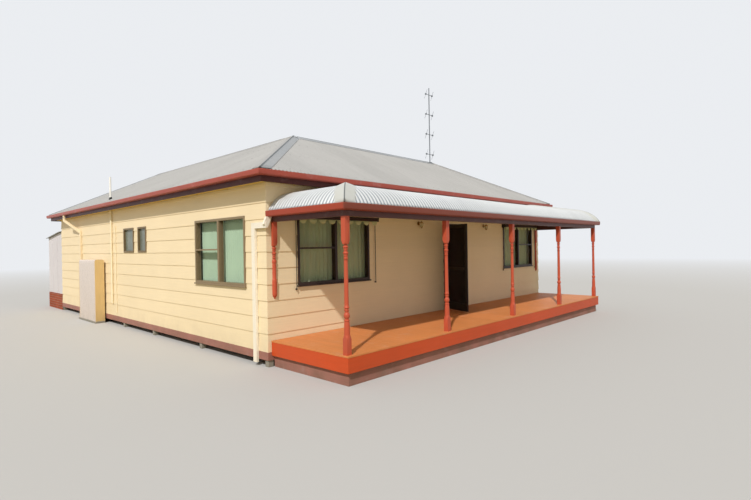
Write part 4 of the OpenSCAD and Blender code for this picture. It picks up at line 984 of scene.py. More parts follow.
def slope_outline(slope, inset):
    """Corners of a slope in s and run, with its eave moved in by inset."""
    _, _, _, _, length, end_start, end_end = slope
    low = [(inset * end_start, inset), (length - inset * end_end, inset)]
    top = [length - ROOF_RUN * end_end, ROOF_RUN * end_start]
    if abs(top[0] - top[1]) < 1e-6:
        return np.array(low + [(top[0], ROOF_RUN)])
    return np.array(low + [(t, ROOF_RUN) for t in top])


def roof_deck(slope, top, bottom):
    """Battens and rafters under a slope as one flat slab inside the fascia."""
    outline = slope_outline(slope, EAVE_OUT - FASCIA_OUT + 0.001)
    _, start, along, up = slope[:4]
    count = len(outline)
    rings = [on_slope(start, along, up, outline[:, 0], outline[:, 1], lift) for lift in (bottom, top)]
    here = np.arange(count)
    after = np.roll(here, -1)
    sides = stacked(here, after, after + count, here + count)
    caps = np.array([here[::-1], here + count])
    return Shape(np.concatenate(rings), [sides, caps])


def capping_profile(half, fall, roll, lift):
    """Section of a capping: two wings that fall away from a half-round roll, with their edges turned down."""
    side = np.linspace(half, roll, 5)
    wing = stacked(side, lift - fall * side)
    lip = np.array([[half + 0.001, lift - fall * half - 0.01]])
    turn = np.radians(np.linspace(15, 90, 5))
    crown = stacked(roll * np.cos(turn), lift - fall * roll + roll * 0.9 * np.sin(turn))
    right = np.concatenate([lip, wing, crown])
    left = right[::-1][1:] * [-1, 1]
    return np.concatenate([right, left])


def hip_cappings(sizes):
    """Cappings along the hips: plan place = corner + s * hip + w * side, and height falls with |w|."""
    e = EAVE_OUT
    profile = capping_profile(sizes.capping_width / 2, RISE / ROOT_TWO, sizes.capping_roll, CAPPING_LIFT)
    corners = [((-e, -e), (1, 1)), ((FRONT_W + e, -e), (-1, 1)), ((FRONT_W + e, WING_D + e), (-1, -1)),
               ((WING_D + e, SIDE_L + e), (-1, -1)), ((-e, SIDE_L + e), (1, -1))]
    made = []
    for corner, way in corners:
        hip = np.array(way) / ROOT_TWO
        side = np.array([hip[1], -hip[0]])
        w, dz = profile[:, 0], profile[:, 1]
        ends = np.stack([np.abs(w), np.full_like(w, ROOF_RUN * ROOT_TWO)], axis=0)
        s = ends[0] + np.linspace(0, 1, 13)[:, None] * (ends[1] - ends[0])
        plan = np.array(corner) + s[..., None] * hip + w[None, :, None] * side
        z = roof_height(s / ROOT_TWO) + dz[None]
        points = np.concatenate([plan, z[..., None]], axis=-1)
        uv = stacked(s, np.broadcast_to(w, s.shape))
        made.append(grid(points, uv=uv))
    return made


def ridge_cappings(sizes):
    """Cappings along the two ridges, level and of the same section."""
    profile = capping_profile(sizes.capping_width / 2, RISE, sizes.capping_roll, CAPPING_LIFT)
    middle = WING_D / 2
    runs = [((middle, middle), (1, 0), FRONT_W - WING_D), ((middle, middle), (0, 1), SIDE_L - WING_D)]
    made = []
    for start, way, length in runs:
        along = np.array(way, float)
        side = np.array([along[1], -along[0]])
        s = np.linspace(-0.02, length + 0.02, 9)[:, None] * np.ones(len(profile))
        plan = np.array(start) + s[..., None] * along + profile[None, :, :1] * side
        z = np.broadcast_to(RIDGE_Z + profile[:, 1], s.shape)
        uv = stacked(s, np.broadcast_to(profile[:, 0], s.shape))
        made.append(grid(np.concatenate([plan, z[..., None]], axis=-1), uv=uv))
    return made


def roof_screws(sizes):
    """Domed screw heads on every third crest, in rows up each slope."""
    dome = np.array([[0.0, 0.006], [0.005, 0.0055], [0.0065, 0.002], [0.012, 0.0005], [0.0, -0.001]])
    places = []
    for slope in slopes():
        _, start, along, up, length, end_start, end_end = slope
        s = np.arange(-math.floor(ROOF_RUN / sizes.wave) * sizes.wave, length + ROOF_RUN,
                      SCREW_CREST * sizes.wave)
        low, high = slope_limits(s, length, end_start, end_end)
        for run in np.arange(SCREWS_FROM_EAVE, ROOF_RUN - SCREWS_FROM_RIDGE, sizes.screw_row):
            use = s[(low + 0.05 < run) & (high - SCREWS_FROM_HIP > run)]
            crest = -sizes.sheet_room / 2 + sizes.wave_height / 2
            places.append(on_slope(start, along, up, use, np.full_like(use, run), crest))
    return lathe(dome, np.concatenate(places), 6)


def gutter_profile(back, low, width, height, metal):
    """Section of a formed gutter: flat back and floor, a front that leans out, and a rolled bead on it."""
    front = back + width
    bead_at = (front - BEAD, low + height - BEAD)
    cove_at = (front - FRONT_LEAN, low + COVE)
    bead = arc(bead_at, BEAD, -20, 200, 9)
    outer = [(back, low + height * BACK_SHARE), (back, low), (front - FRONT_LEAN, low)]
    cove = arc(cove_at, COVE, -80, -5, 6)
    inner_bead = arc(bead_at, BEAD - metal, 200, -20, 9)
    inner = [(front - FRONT_LEAN, low + metal), (back + metal, low + metal),
             (back + metal, low + height * BACK_SHARE)]
    inner_cove = arc(cove_at, COVE - metal, -5, -80, 6)
    return np.concatenate([outer, cove, bead, inner_bead, inner_cove, inner])


def outline(out):
    """Corners of the walls' plan moved outwards, in the order that puts outwards on the right."""
    return np.array([(-out, -out), (FRONT_W + out, -out), (FRONT_W + out, WING_D + out),
                     (WING_D + out, WING_D + out), (WING_D + out, SIDE_L + out), (-out, SIDE_L + out)])


def make_main_roof():
    """Corrugated sheets on battens, cappings, screws, gutters, fascia and eaves lining."""
    sizes = bpy.context.scene.beach_house_sizes
    for name in ("roof_front", "roof_left", "roof_inner_front", "roof_inner_left", "roof_hip_ends"):
        group = [s for s in slopes() if s[0] == name]
        side = name.removeprefix("roof_")
        place("Sheets_" + side, joined([corrugated_slope(s, sizes) for s in group]), "roof",
              replaces=name, smooth=60, thick=SHEET_METAL)
        place("Battens_" + side, joined([roof_deck(s, *BATTENS) for s in group]), "lining",
              replaces=name)
    cappings = hip_cappings(sizes) + ridge_cappings(sizes)
    place("Cappings", joined(cappings), "capping", replaces="roof_capping", smooth=40,
          thick=CAPPING_METAL)
    place("Roof_screws", roof_screws(sizes), "screw", smooth=50)
    low = cad_box("roof_gutter")[0]
    width = -low[0] - FASCIA_OUT
    section = gutter_profile(0.001, low[2], width - 0.001, cad_gutter_height(), sizes.gutter_metal)
    place("Main_gutter", swept(section, outline(FASCIA_OUT), closed=True), "gutter",
          replaces="roof_gutter", smooth=35)
    dress("fascia", "fascia", 0.003)
    # The eaves lining gets a cream darkened with painted shade.
    dress("eaves_lining", "shaded_soffit")
    strips = []
    inner, outer = 0.002, FASCIA_OUT - 0.026
    half = COVER_WIDTH / 2
    section = [(-half, 0), (-half + COVER_EDGE, -COVER_DEPTH), (half - COVER_EDGE, -COVER_DEPTH), (half, 0)]
    for start, along, inward, length, _, _ in WALLS:
        s = np.arange(COVER_PITCH / 2, length - 0.1, COVER_PITCH)[:, None]
        out = -np.array(inward)
        base = np.array(start) + s * np.array(along)
        level = np.full((len(s), 1), SOFFIT_Z)
        first, last = (np.concatenate([base + out * reach, level], axis=1) for reach in (inner, outer))
        strips.append(bars(section, first, last, (*along, 0), (0, 0, 1)))
    # The cover strips share the lining's cream with its painted shade.
    place("Eaves_strips", joined(strips), "shaded_soffit")


def cad_gutter_height():
    """Height of the main gutter's front over its floor."""
    tops = sorted({round(v.co.z - ORIGIN[2], 4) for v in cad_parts["roof_gutter"].data.vertices})
    low = tops[0]
    lips = [t for t in tops if 0.05 < t - low < 0.2]
    return max(lips) - low


# Verandah roof

BULL_RADIUS = 0.57
BULL_EDGE = math.radians(65)
BULL_THICK = 0.018
V_LOW, V_HIGH = cad_box("verandah_roof_front")
V_RUN = float(V_HIGH[1] - V_LOW[1])
V_WIDE = float(V_HIGH[0] - V_LOW[0])
END_RUN = float(solid_boxes("verandah_roof_ends")[0][1][0] - V_LOW[0])


def bull_shape():
    """Arc centre, as run and height, and slope of the flat part of the bullnose section.

    The flat part leaves the arc on the tangent that passes through the section's highest point.
    """
    edge = float(V_LOW[2]) + BULL_THICK * math.cos(BULL_EDGE)
    centre = np.array([BULL_RADIUS * math.sin(BULL_EDGE), edge - BULL_RADIUS * math.cos(BULL_EDGE)])
    to_top = np.array([V_RUN, float(V_HIGH[2])]) - centre
    reach = float(np.linalg.norm(to_top))
    pitch = math.atan2(to_top[1], to_top[0]) + math.acos(BULL_RADIUS / reach) - math.pi / 2
    return centre, pitch


def bull_points(run, depth):
    """Run and height of points at a run in from the free edge, moved by a depth below the sheet's top."""
    centre, pitch = bull_shape()
    end = centre[0] - BULL_RADIUS * math.sin(pitch)
    on_arc = run < end
    sine = np.clip((centre[0] - run) / BULL_RADIUS, -1, 1)
    lean = np.where(on_arc, np.arcsin(sine), pitch)
    flat_z = centre[1] + BULL_RADIUS * math.cos(pitch) + (run - end) * math.tan(pitch)
    z = np.where(on_arc, centre[1] + BULL_RADIUS * np.cos(lean), flat_z)
    return run + depth * np.sin(lean), z - depth * np.cos(lean)


def bull_sheet(s, run_high, depth_of, place_at):
    """A sheet in columns along s: each column follows the section from its free edge to its own highest run.

    Rows are spaced by the section's turning, closely on the arc and widely on the flat part.
    """
    share = np.linspace(0, 1, 22) ** 1.35
    run = share[None] * run_high[:, None]
    along = np.broadcast_to(s[:, None], run.shape)
    moved, z = bull_points(run, depth_of(along))
    length = np.concatenate([np.zeros((len(s), 1)),
                             np.cumsum(np.hypot(np.diff(run, axis=1), np.diff(z, axis=1)), axis=1)], axis=1)
    uv = stacked(along, length)
    return grid(place_at(along, moved, z), uv=uv)


def verandah_sides():
    """Name, length, highest run by place, and placing function of the three verandah roofs."""
    left, front, right = float(V_LOW[0]), float(V_LOW[1]), float(V_HIGH[0])

    def at_front(s, run, z):
        return stacked(left + s, front + run, z)

    def at_left(s, run, z):
        return stacked(left + run, -s, z)

    def at_right(s, run, z):
        return stacked(right - run, front + s, z)

    deep = -front

    def front_high(s):
        return np.minimum(V_RUN, np.minimum(s, V_WIDE - s))

    def left_high(s):
        inside = deep - s
        return np.where(inside > V_RUN, END_RUN, np.minimum(V_RUN, inside))

    def right_high(s):
        return np.where(s > V_RUN, END_RUN, np.minimum(V_RUN, s))

    return [("front", V_WIDE, front_high, at_front), ("left", deep, left_high, at_left),
            ("right", deep, right_high, at_right)]


FLASHING_OVER = 0.012
FLASHING_EDGE = -0.008
EASES_AT, EASES_OVER = 0.14, 0.1


def hip_flashings(width, peak, edge):
    """Strips on both sides of the verandah's hips: lift falls evenly from the peak at the hip to the edge.

    On the front side a point is corner + (t + a, t), on the end side corner + (t, t + a), with height from t,
    and t starts a little before the sheets' free edge, so that the strip dips into the gutter.
    The peak eases down to the edge's lift where the strip runs in under the main gutter.
    """
    left, front, right = float(V_LOW[0]), float(V_LOW[1]), float(V_HIGH[0])
    t = (V_RUN + FLASHING_OVER) * np.linspace(0, 1, 28)[:, None] ** 1.2 - FLASHING_OVER
    share = np.linspace(0, 1, 7)[None]
    under = np.clip((V_RUN - EASES_AT - t) / EASES_OVER, 0, 1)
    lift = edge + (peak - edge) * (1 - share) * under
    t, a = t * np.ones_like(share), width * ROOT_TWO * share * np.ones_like(t)
    moved, z = bull_points(t, -lift)
    made = []
    for corner_x, way in ((left, 1), (right, -1)):
        on_front = stacked(corner_x + way * (moved + a), front + moved, z)
        on_end = stacked(corner_x + way * moved, front + moved + a, z)
        uv = stacked(t, a)
        made.append(grid(on_front, uv=uv))
        made.append(grid(on_end, uv=uv))
    return made


def make_verandah_roof():
    """Curved corrugated sheets, hip flashings, rafters, beam and gutter."""
    sizes = bpy.context.scene.beach_house_sizes

    def depth(along):
        return sizes.sheet_room / 2 - sizes.wave_height / 2 * np.cos(2 * math.pi * along / sizes.wave)

    for name, length, high, place_at in verandah_sides():
        step = sizes.wave / STEPS_A_WAVE
        s = np.arange(step, length, step)
        s = s[high(s) > 0.004]
        node = "verandah_roof_front" if name == "front" else "verandah_roof_ends"
        place("Bullnose_" + name, bull_sheet(s, high(s), depth, place_at), "bullnose",
              replaces=node, smooth=60, thick=SHEET_METAL)
    strips = hip_flashings(sizes.flashing_width, sizes.flashing_peak, FLASHING_EDGE)
    place("Hip_flashings", joined(strips), "flashing", replaces="verandah_hip_capping",
          smooth=40, thick=FLASHING_METAL)
    dress("verandah_rafters", "rafter", 0.003)
    dress("verandah_beam", "beam", 0.004)
    low, high = cad_box("verandah_gutter")
    beam_low, beam_high = cad_box("verandah_beam")
    width = beam_low[0] - low[0]
    section = gutter_profile(0.001, low[2], width - 0.001, float(high[2] - low[2]), sizes.gutter_metal)
    line = [(beam_low[0], -0.001), (beam_low[0], beam_low[1]), (beam_high[0], beam_low[1]),
            (beam_high[0], -0.001)]
    place("Verandah_gutter", swept(section, line), "v_gutter", replaces="verandah_gutter",
          smooth=35)


# Verandah timber and deck

POST_FOOT = 0.288
VASE_TOP = 0.494
INSIDE = 0.0005
DECK_GAP, DECK_CHAMFER, DECK_TONE = 0.0006, 0.0022, 0.02


def post_vases():
    """The full vase over each post's square foot: half the post's width, less a tenth of it times s^4.

    s runs from 0 at the foot to 1 under the ring of beads.
    """
    posts = solid_boxes("verandah_posts")
    s = np.linspace(0, 1, 9)
    half = (posts[0][1][0] - posts[0][0][0]) / 2 - INSIDE
    outline = stacked(half - 0.1 * 2 * half * s ** 4, POST_FOOT + (VASE_TOP - POST_FOOT) * s)
    outline = np.concatenate([[[0.0, POST_FOOT]], outline, [[0.0, VASE_TOP]]])
    feet = [((low[0] + high[0]) / 2, (low[1] + high[1]) / 2, low[2]) for low, high in posts]
    return lathe(outline, feet, 32)


def wall_post_drops():
    """The full drop over the point of each half post: a turned outline, cut flat where it meets the wall."""
    made = []
    for low, high in solid_boxes("wall_posts"):
        half = (high[0] - low[0]) / 2 - INSIDE
        outline = [(0.0, 0.03), (0.5 * half, 0.032), (0.92 * half, 0.055), (half, 0.09), (half, 0.29),
                   (0.96 * half, 0.325), (0.8 * half, 0.35), (0.5 * half, 0.362), (0.0, 0.362)]
        shape = lathe(outline, ((low[0] + high[0]) / 2, high[1], low[2]), 32)
        shape.points[:, 1] = np.minimum(shape.points[:, 1], high[1] - INSIDE)
        made.append(shape)
    return joined(made)


def make_posts():
    """Turned posts and half posts, with their turned parts shaded smoothly."""
    smooth_copy("Turned_posts", "verandah_posts", "posts", smooth=32)
    place("Post_vases", post_vases(), "posts", replaces="verandah_posts", smooth=50)
    place("Wall_post_drops", wall_post_drops(), "posts", replaces="wall_posts", smooth=50)
    smooth_copy("Wall_posts_turned", "wall_posts", "posts", smooth=32)


def make_deck():
    """Deck boards laid from the wall to the front, edge boards and plinth boards."""
    sizes = bpy.context.scene.beach_house_sizes
    low, high = cad_box("deck_boards")
    count = round((high[0] - low[0]) / sizes.deck_board)
    pitch = (high[0] - low[0]) / count
    x = low[0] + pitch * (np.arange(count) + 0.5)
    half = pitch / 2 - DECK_GAP
    thick = high[2] - low[2]
    section = [(-half, -thick), (half, -thick), (half, -DECK_CHAMFER), (half - DECK_CHAMFER, 0),
               (-half + DECK_CHAMFER, 0), (-half, -DECK_CHAMFER)]
    level = np.full(count, high[2])
    chance = np.random.default_rng(11)
    first = stacked(x, np.full(count, low[1]), level)
    last = stacked(x, np.full(count, high[1] - 0.001), level)
    tone = chance.uniform(-DECK_TONE, DECK_TONE, count)
    boards = bars(section, first, last, (1, 0, 0), (0, 0, 1), tone=tone)
    place("Deck_boards", boards, "deck", replaces="deck_boards")
    dress("deck_edge", "deck_edge", 0.004)
    dress("deck_plinth", "plinth", 0.003)


# Windows

AWNING_TURNS = 9
CANVAS_PITCH = 0.0024
CANVAS_IN = 0.012
CANVAS_SAG = 0.002
TAB_SPREAD = 1.4
VALANCE_LEAVES = math.radians(62)
FOLDS = 17
SLAT_TURN = math.radians(-30)


def make_windows():
    """Frames with eased edges, clear and obscure glass."""
    for node, look in (("window_frames", "front_frames"), ("side_window_frame", "side_frames"),
                       ("small_window_frames", "small_frames")):
        dress(node, look, 0.0025)
    dress("window_glass", "glass")
    dress("small_window_glass", "obscure")


def make_awnings():
    """Rolled canvas awnings, each a sheet wound to a spiral, with a scalloped valance hanging from the roll.

    The valance's foot drops by sqrt(1 - u^2) over each scallop, where u runs from -1 to 1 across it. Its top
    leaves the roll below its axis and swings forward with the cube of the share that is left.
    """
    sizes = bpy.context.scene.beach_house_sizes
    for number, (low, high) in enumerate(solid_boxes("awnings")):
        side = ("left", "right")[number]
        radius = (high[1] - low[1]) / 2
        centre_y, centre_z = high[1] - radius, high[2] - radius
        wind = np.linspace(0, 2 * AWNING_TURNS * math.pi, 235)
        r = radius - 0.003 - CANVAS_PITCH * wind / (2 * math.pi)
        x = np.linspace(low[0] + CANVAS_IN, high[0] - CANVAS_IN, 145)
        wide = float(x[-1] - x[0])
        sag = CANVAS_SAG * np.sin(math.pi * (x - x[0]) / wide)[:, None]
        y = centre_y - r * np.cos(wind)
        z = centre_z + r * np.sin(wind) - sag
        length = np.concatenate([[0], np.cumsum(np.hypot(np.diff(y), np.diff(z[0])))])
        canvas = grid(stacked(x[:, None], y, z),
                      uv=stacked(x[:, None], length[None]))
        roll = place("Awning_" + side, canvas, "canvas", replaces="awnings", smooth=60,
                     thick=0.0014)
        count = round(wide / sizes.scallop)
        u = 2 * TAB_SPREAD * (((x - x[0]) / wide * count) % 1.0) - TAB_SPREAD
        tab = np.sqrt(np.clip(1 - u ** 2, 0, 1))
        shallow = radius + 0.004
        foot = shallow + sizes.scallop_share * (centre_z - low[2] - shallow) * tab
        down = np.linspace(0, 1, 11)
        ripple = 0.003 * np.sin(2 * math.pi * x / 0.37)[:, None] * down[None]
        plane_y = low[1] + 0.0042
        hang_y = plane_y + (centre_y - radius * math.cos(VALANCE_LEAVES) - plane_y) * (1 - down) ** 3 + ripple
        hang_z = centre_z - radius * math.sin(VALANCE_LEAVES) * (1 - down) - foot[:, None] * down[None]
        hung = grid(stacked(x[:, None], hang_y, hang_z),
                    uv=stacked(x[:, None], hang_z))
        valance = place("Awning_valance_" + side, hung, "trim", replaces="awnings",
                        smooth=60, thick=0.0012)
    smooth_copy("Awning_rods", "awning_rods", "dark_metal", smooth=35)


def folded(low, high, depth, seed):
    """A hung curtain: distance from its middle plane is a sum of two sines of the place along the rail.

    The folds deepen and drift a little from the rail down to the hem.
    """
    chance = np.random.default_rng(seed)
    wide = high - low
    s = np.linspace(0, 1, FOLDS * 14 + 1)
    drop = np.linspace(0, 1, 26)
    phase = chance.uniform(0, 2 * math.pi, 3)
    warp = s + 0.012 * np.sin(2 * math.pi * 3.3 * s + phase[0])
    deepen = 0.55 + 0.45 * drop[None] ** 0.7
    wave = np.sin(2 * math.pi * FOLDS * warp[:, None] + 0.5 * drop[None] * np.sin(phase[1] + 7 * s[:, None]))
    small = 0.22 * np.sin(2 * math.pi * FOLDS * 0.47 * warp[:, None] + phase[2])
    off = depth * deepen * (wave + small) / 1.22
    along = (wide * s)[:, None] * np.ones_like(drop)
    return along, off, drop


def curtain_piece(name, box, node, look, axis, seed):
    """One curtain in the room that its plain solid takes, with its cut size worked out from its folds."""
    low, high = box
    across = 1 - axis
    depth = (high[across] - low[across]) / 2 - 0.003
    along, off, drop = folded(low[axis], high[axis], depth, seed)
    middle = (low[across] + high[across]) / 2
    z = high[2] + (low[2] - high[2]) * drop[None] * np.ones_like(along)
    points = np.zeros(along.shape + (3,))
    points[..., axis] = low[axis] + along
    points[..., across] = middle + off
    points[..., 2] = z
    steps = np.hypot(np.diff(points[:, -1, axis]), np.diff(points[:, -1, across]))
    cut = float(steps.sum())
    u = np.concatenate([[0], np.cumsum(steps)])
    uv = stacked(u[:, None] * np.ones_like(drop), z)
    made = place(name, grid(points, uv=uv), look, replaces=node, smooth=80, thick=0.0012)


def make_curtains():
    """Net curtains behind the front windows and an upright-slat blind behind the side window."""
    sizes = bpy.context.scene.beach_house_sizes
    for number, box in enumerate(solid_boxes("net_curtains")):
        side = ("left", "right")[number]
        curtain_piece("Net_curtain_" + side, box, "net_curtains", "net", 0, 21 + number)
    low, high = cad_box("side_curtains")
    count = int((high[1] - low[1]) / sizes.slat_pitch)
    centre_y = low[1] + sizes.slat_pitch * (np.arange(count) + 0.5)
    middle_x = (low[0] + high[0]) / 2
    w = np.linspace(-0.5, 0.5, 7) * sizes.slat_width
    bow = 0.004 * np.cos(math.pi * w / sizes.slat_width)
    z = np.linspace(high[2] - 0.02, low[2], 9)
    slats = []
    for y in centre_y:
        slat_y = y + w * math.cos(SLAT_TURN) + bow * math.sin(SLAT_TURN)
        slat_x = middle_x + w * math.sin(SLAT_TURN) - bow * math.cos(SLAT_TURN)
        points = stacked(slat_x[:, None], slat_y[:, None], z[None])
        slats.append(grid(points, uv=stacked(w[:, None], z[None])))
    blind = place("Upright_blind", joined(slats), "blind", replaces="side_curtains",
                  smooth=60, thick=0.001)
    smooth_copy("Curtain_rails", "curtain_rails", "rail", smooth=35)


# Doorway

LANTERN_REACH = 0.062
CAP_DROP = 0.057
FOOT_RISE = 0.034
PANE = 0.002


def make_doorway():
    """Door frame, screen door with its insect screen, and the front door behind it."""
    dress("door_frame", "door_frame", 0.0015)
    dress("screen_door", "screen", 0.0015)
    dress("screen_mesh", "mesh")
    dress("front_door", "front_door", 0.002)


def make_lamps():
    """Wall lanterns: a round plate and arm, a four-sided body of panes between bars, a cap and a drop."""
    bodies, panes = [], []
    for low, high in solid_boxes("wall_lamps"):
        centre_x = (low[0] + high[0]) / 2
        reach = low[1] + LANTERN_REACH
        top, bottom = high[2], low[2]
        middle = np.array([centre_x, reach, 0.0])
        plate_z = (top + bottom) / 2 + 0.03
        turn = np.linspace(0, 2 * math.pi, 33)[:-1]
        for radius, depth in ((0.045, 0.006), (0.036, 0.013)):
            ring = np.stack([np.array([centre_x + radius * np.cos(turn), np.full_like(turn, -d),
                                       plate_z + radius * np.sin(turn)]).T for d in (0.0005, depth)])
            bodies.append(capped(grid(ring, loop_v=True), len(turn)))
        arm = rounded_path([(centre_x, -0.012, plate_z), (centre_x, reach, plate_z),
                            (centre_x, reach, plate_z - 0.02)], 0.012)
        bodies.append(tube(arm, 0.006, 10))
        cap = [(0.0, top), (0.006, top - 0.004), (0.009, top - 0.012), (0.005, top - 0.02),
               (0.03, top - 0.034), (0.056, top - 0.052), (0.056, top - CAP_DROP), (0.0, top - CAP_DROP)]
        bodies.append(lathe(cap, middle, 24))
        foot = [(0.0, bottom + FOOT_RISE), (0.034, bottom + FOOT_RISE), (0.036, bottom + 0.026),
                (0.016, bottom + 0.014), (0.008, bottom + 0.006), (0.0, bottom + 0.001)]
        bodies.append(lathe(foot, middle, 24))
        high_z, low_z = top - CAP_DROP, bottom + FOOT_RISE
        corners = np.array([(1, 1), (-1, 1), (-1, -1), (1, -1)])
        up_ring = np.column_stack([middle[:2] + corners * 0.036, np.full(4, high_z)])
        low_ring = np.column_stack([middle[:2] + corners * 0.023, np.full(4, low_z)])
        for a, b in zip(up_ring, low_ring):
            bodies.append(tube(np.linspace(a, b, 3), 0.003, 6))
        panes.append(grid(np.stack([up_ring, low_ring]), loop_v=True))
    place("Lantern_bodies", joined(bodies), "brass", replaces="wall_lamps", smooth=40)
    place("Lantern_panes", joined(panes), "lamp_glass", replaces="wall_lamps", thick=PANE)


# Services

END_PLATE = 0.012
PIPE_IN, PIPE_Z = 0.3, 0.25
NUT = 0.019
DOOR_IN, DOOR_OVER_PAD, DOOR_THICK = 0.09, 0.12, 0.006


def make_services():
    """Pipes with brackets and a rubber collar, the water heater and the downpipes."""
    dress("downpipes", "downpipe", 0.004)
    pipes = solid_boxes("wall_pipes")
    smooth_copy("Wall_pipes", "wall_pipes", "pipe", smooth=40)
    upper = max(pipes, key=lambda b: b[1][2])
    centre = (upper[0] + upper[1]) / 2
    radius = (upper[1][0] - upper[0][0]) / 2
    collar_z = float(upper[0][2])
    skirt = [(radius + 0.001, 0.05), (radius + 0.005, 0.047), (radius + 0.009, 0.03), (radius + 0.018, 0.01),
             (radius + 0.019, -0.01), (radius + 0.001, -0.01)]
    tilt = lathe(skirt, (centre[0], centre[1], 0.0), 24)
    local = tilt.points[:, 0] - centre[0]
    tilt.points[:, 2] += collar_z + 0.02 + RISE * local * np.clip(1.4 - 14 * tilt.points[:, 2], 0, 1)
    place("Pipe_collar", tilt, "rubber", smooth=40)
    brackets = []
    for low, high in pipes:
        if low[2] > SOFFIT_Z:
            continue
        wide = (high[0] - low[0]) / 2
        middle_y = (low[1] + high[1]) / 2
        for z in np.arange(low[2] + 0.25, high[2] - 0.1, 0.9):
            brackets.append(lathe([(wide + 0.0005, -0.011), (wide + 0.003, -0.011), (wide + 0.003, 0.011),
                                   (wide + 0.0005, 0.011), (wide + 0.0005, -0.011)],
                                  ((low[0] + high[0]) / 2, middle_y, z), 20))
            brackets.append(boxes((-0.004, middle_y - wide - 0.028, z - 0.011),
                                  (-0.0005, middle_y + wide + 0.028, z + 0.011)))
    place("Pipe_brackets", joined(brackets), "pipe", smooth=40)
    make_heater()


def make_heater():
    """Slim water heater: a casing with a rounded top, end plates, a door panel, a pad and two pipes."""
    low, high = cad_box("water_heater")
    pad, gap, over, edge = low[2] + 0.05, 0.04, 0.02, 0.05
    x0, x1 = low[0] + over, -gap
    y0, y1 = low[1] + over, high[1] - over
    top = high[2]

    def shell(inset):
        left, right, crown = x0 + inset, x1 - inset, top - inset
        turn = edge - inset
        return np.concatenate([[(left, pad), (right, pad)], arc((right - turn, crown - turn), turn, 0, 90, 8),
                               arc((left + turn, crown - turn), turn, 90, 180, 8)])

    def slab(inset, start, end):
        return bars(shell(inset), (0, start, 0), (0, end, 0), (1, 0, 0), (0, 0, 1))

    door = boxes((x0, y0 + DOOR_IN, pad + DOOR_OVER_PAD), (x0 + DOOR_THICK, y1 - DOOR_IN, top - DOOR_IN))
    louvres = [boxes((x0 + 0.003, y0 + 0.2, z), (x0 + DOOR_THICK, y0 + 0.62, z + 0.012))
               for z in np.arange(pad + 0.05, pad + 0.11, 0.024)]
    casing = [slab(0.004, y0 + END_PLATE, y1 - END_PLATE), door] + louvres
    place("Heater_casing", joined(casing), "heater", replaces="water_heater", smooth=35)
    # The end plates' tan is partly their own paint and partly painted shade.
    ends = [slab(0.0, y0, y0 + END_PLATE), slab(0.0, y1 - END_PLATE, y1)]
    place("Heater_ends", joined(ends), "heater_end_tan_and_shade", replaces="water_heater", smooth=35)
    place("Heater_pad", boxes(low, (x1, high[1], pad)), "concrete", replaces="water_heater",
          bevel=0.006)
    pipes = []
    nut = [(NUT * math.cos(t), NUT * math.sin(t)) for t in np.arange(6) * math.pi / 3]
    for y in (y0 + PIPE_IN, y1 - PIPE_IN):
        pipes.append(tube(np.linspace((x1 - 0.02, y, PIPE_Z), (-INSIDE, y, PIPE_Z), 4), 0.011, 12))
        pipes.append(bars(nut, (-0.03, y, PIPE_Z), (-0.012, y, PIPE_Z), (0, 1, 0), (0, 0, 1)))
    place("Heater_pipes", joined(pipes), "brass", replaces="water_heater", smooth=35)


def make_aerial():
    """Roof aerial with round rods."""
    smooth_copy("Aerial", "tv_aerial", "aerial", smooth=35)


# Lean-to

BRICK_WALL = 0.11
STRIP_HALF, STRIP_OUT, STRIP_PITCH = 0.02, 0.008, 0.6
BRICK_NUDGE = 0.0025
THINNEST_COURSE, SHORTEST_BRICK = 0.02, 0.03
UNDER_ROOF = 0.03


def brick_courses(start, end, low, high, sizes, chance):
    """Bricks in running bond along one straight wall, each nudged a little off its place."""
    start, end = np.array(start, float), np.array(end, float)
    length = np.linalg.norm(end - start)
    along = (end - start) / length
    inward = np.array([-along[1], along[0]])
    joint = sizes.brick_joint
    course = sizes.brick_height + joint
    lows, highs, tones = [], [], []
    for row in range(int((high - low) / course) + 1):
        z0 = low + row * course
        z1 = min(z0 + sizes.brick_height, high)
        if z1 - z0 < THINNEST_COURSE:
            continue
        shift = (row % 2) * (sizes.brick_length + joint) / 2
        begin = np.arange(-shift, length, sizes.brick_length + joint)
        finish_at = np.minimum(begin + sizes.brick_length, length)
        begin = np.maximum(begin, 0)
        keep = finish_at - begin > SHORTEST_BRICK
        for a, b in zip(begin[keep], finish_at[keep]):
            out = chance.uniform(0, BRICK_NUDGE)
            p, q = start + along * a + inward * out, start + along * b + inward * (BRICK_WALL - 0.002)
            lows.append((*np.minimum(p, q), z0))
            highs.append((*np.maximum(p, q), z1))
            tones.append(chance.uniform(-0.14, 0.12))
    return boxes(lows, highs, tones)


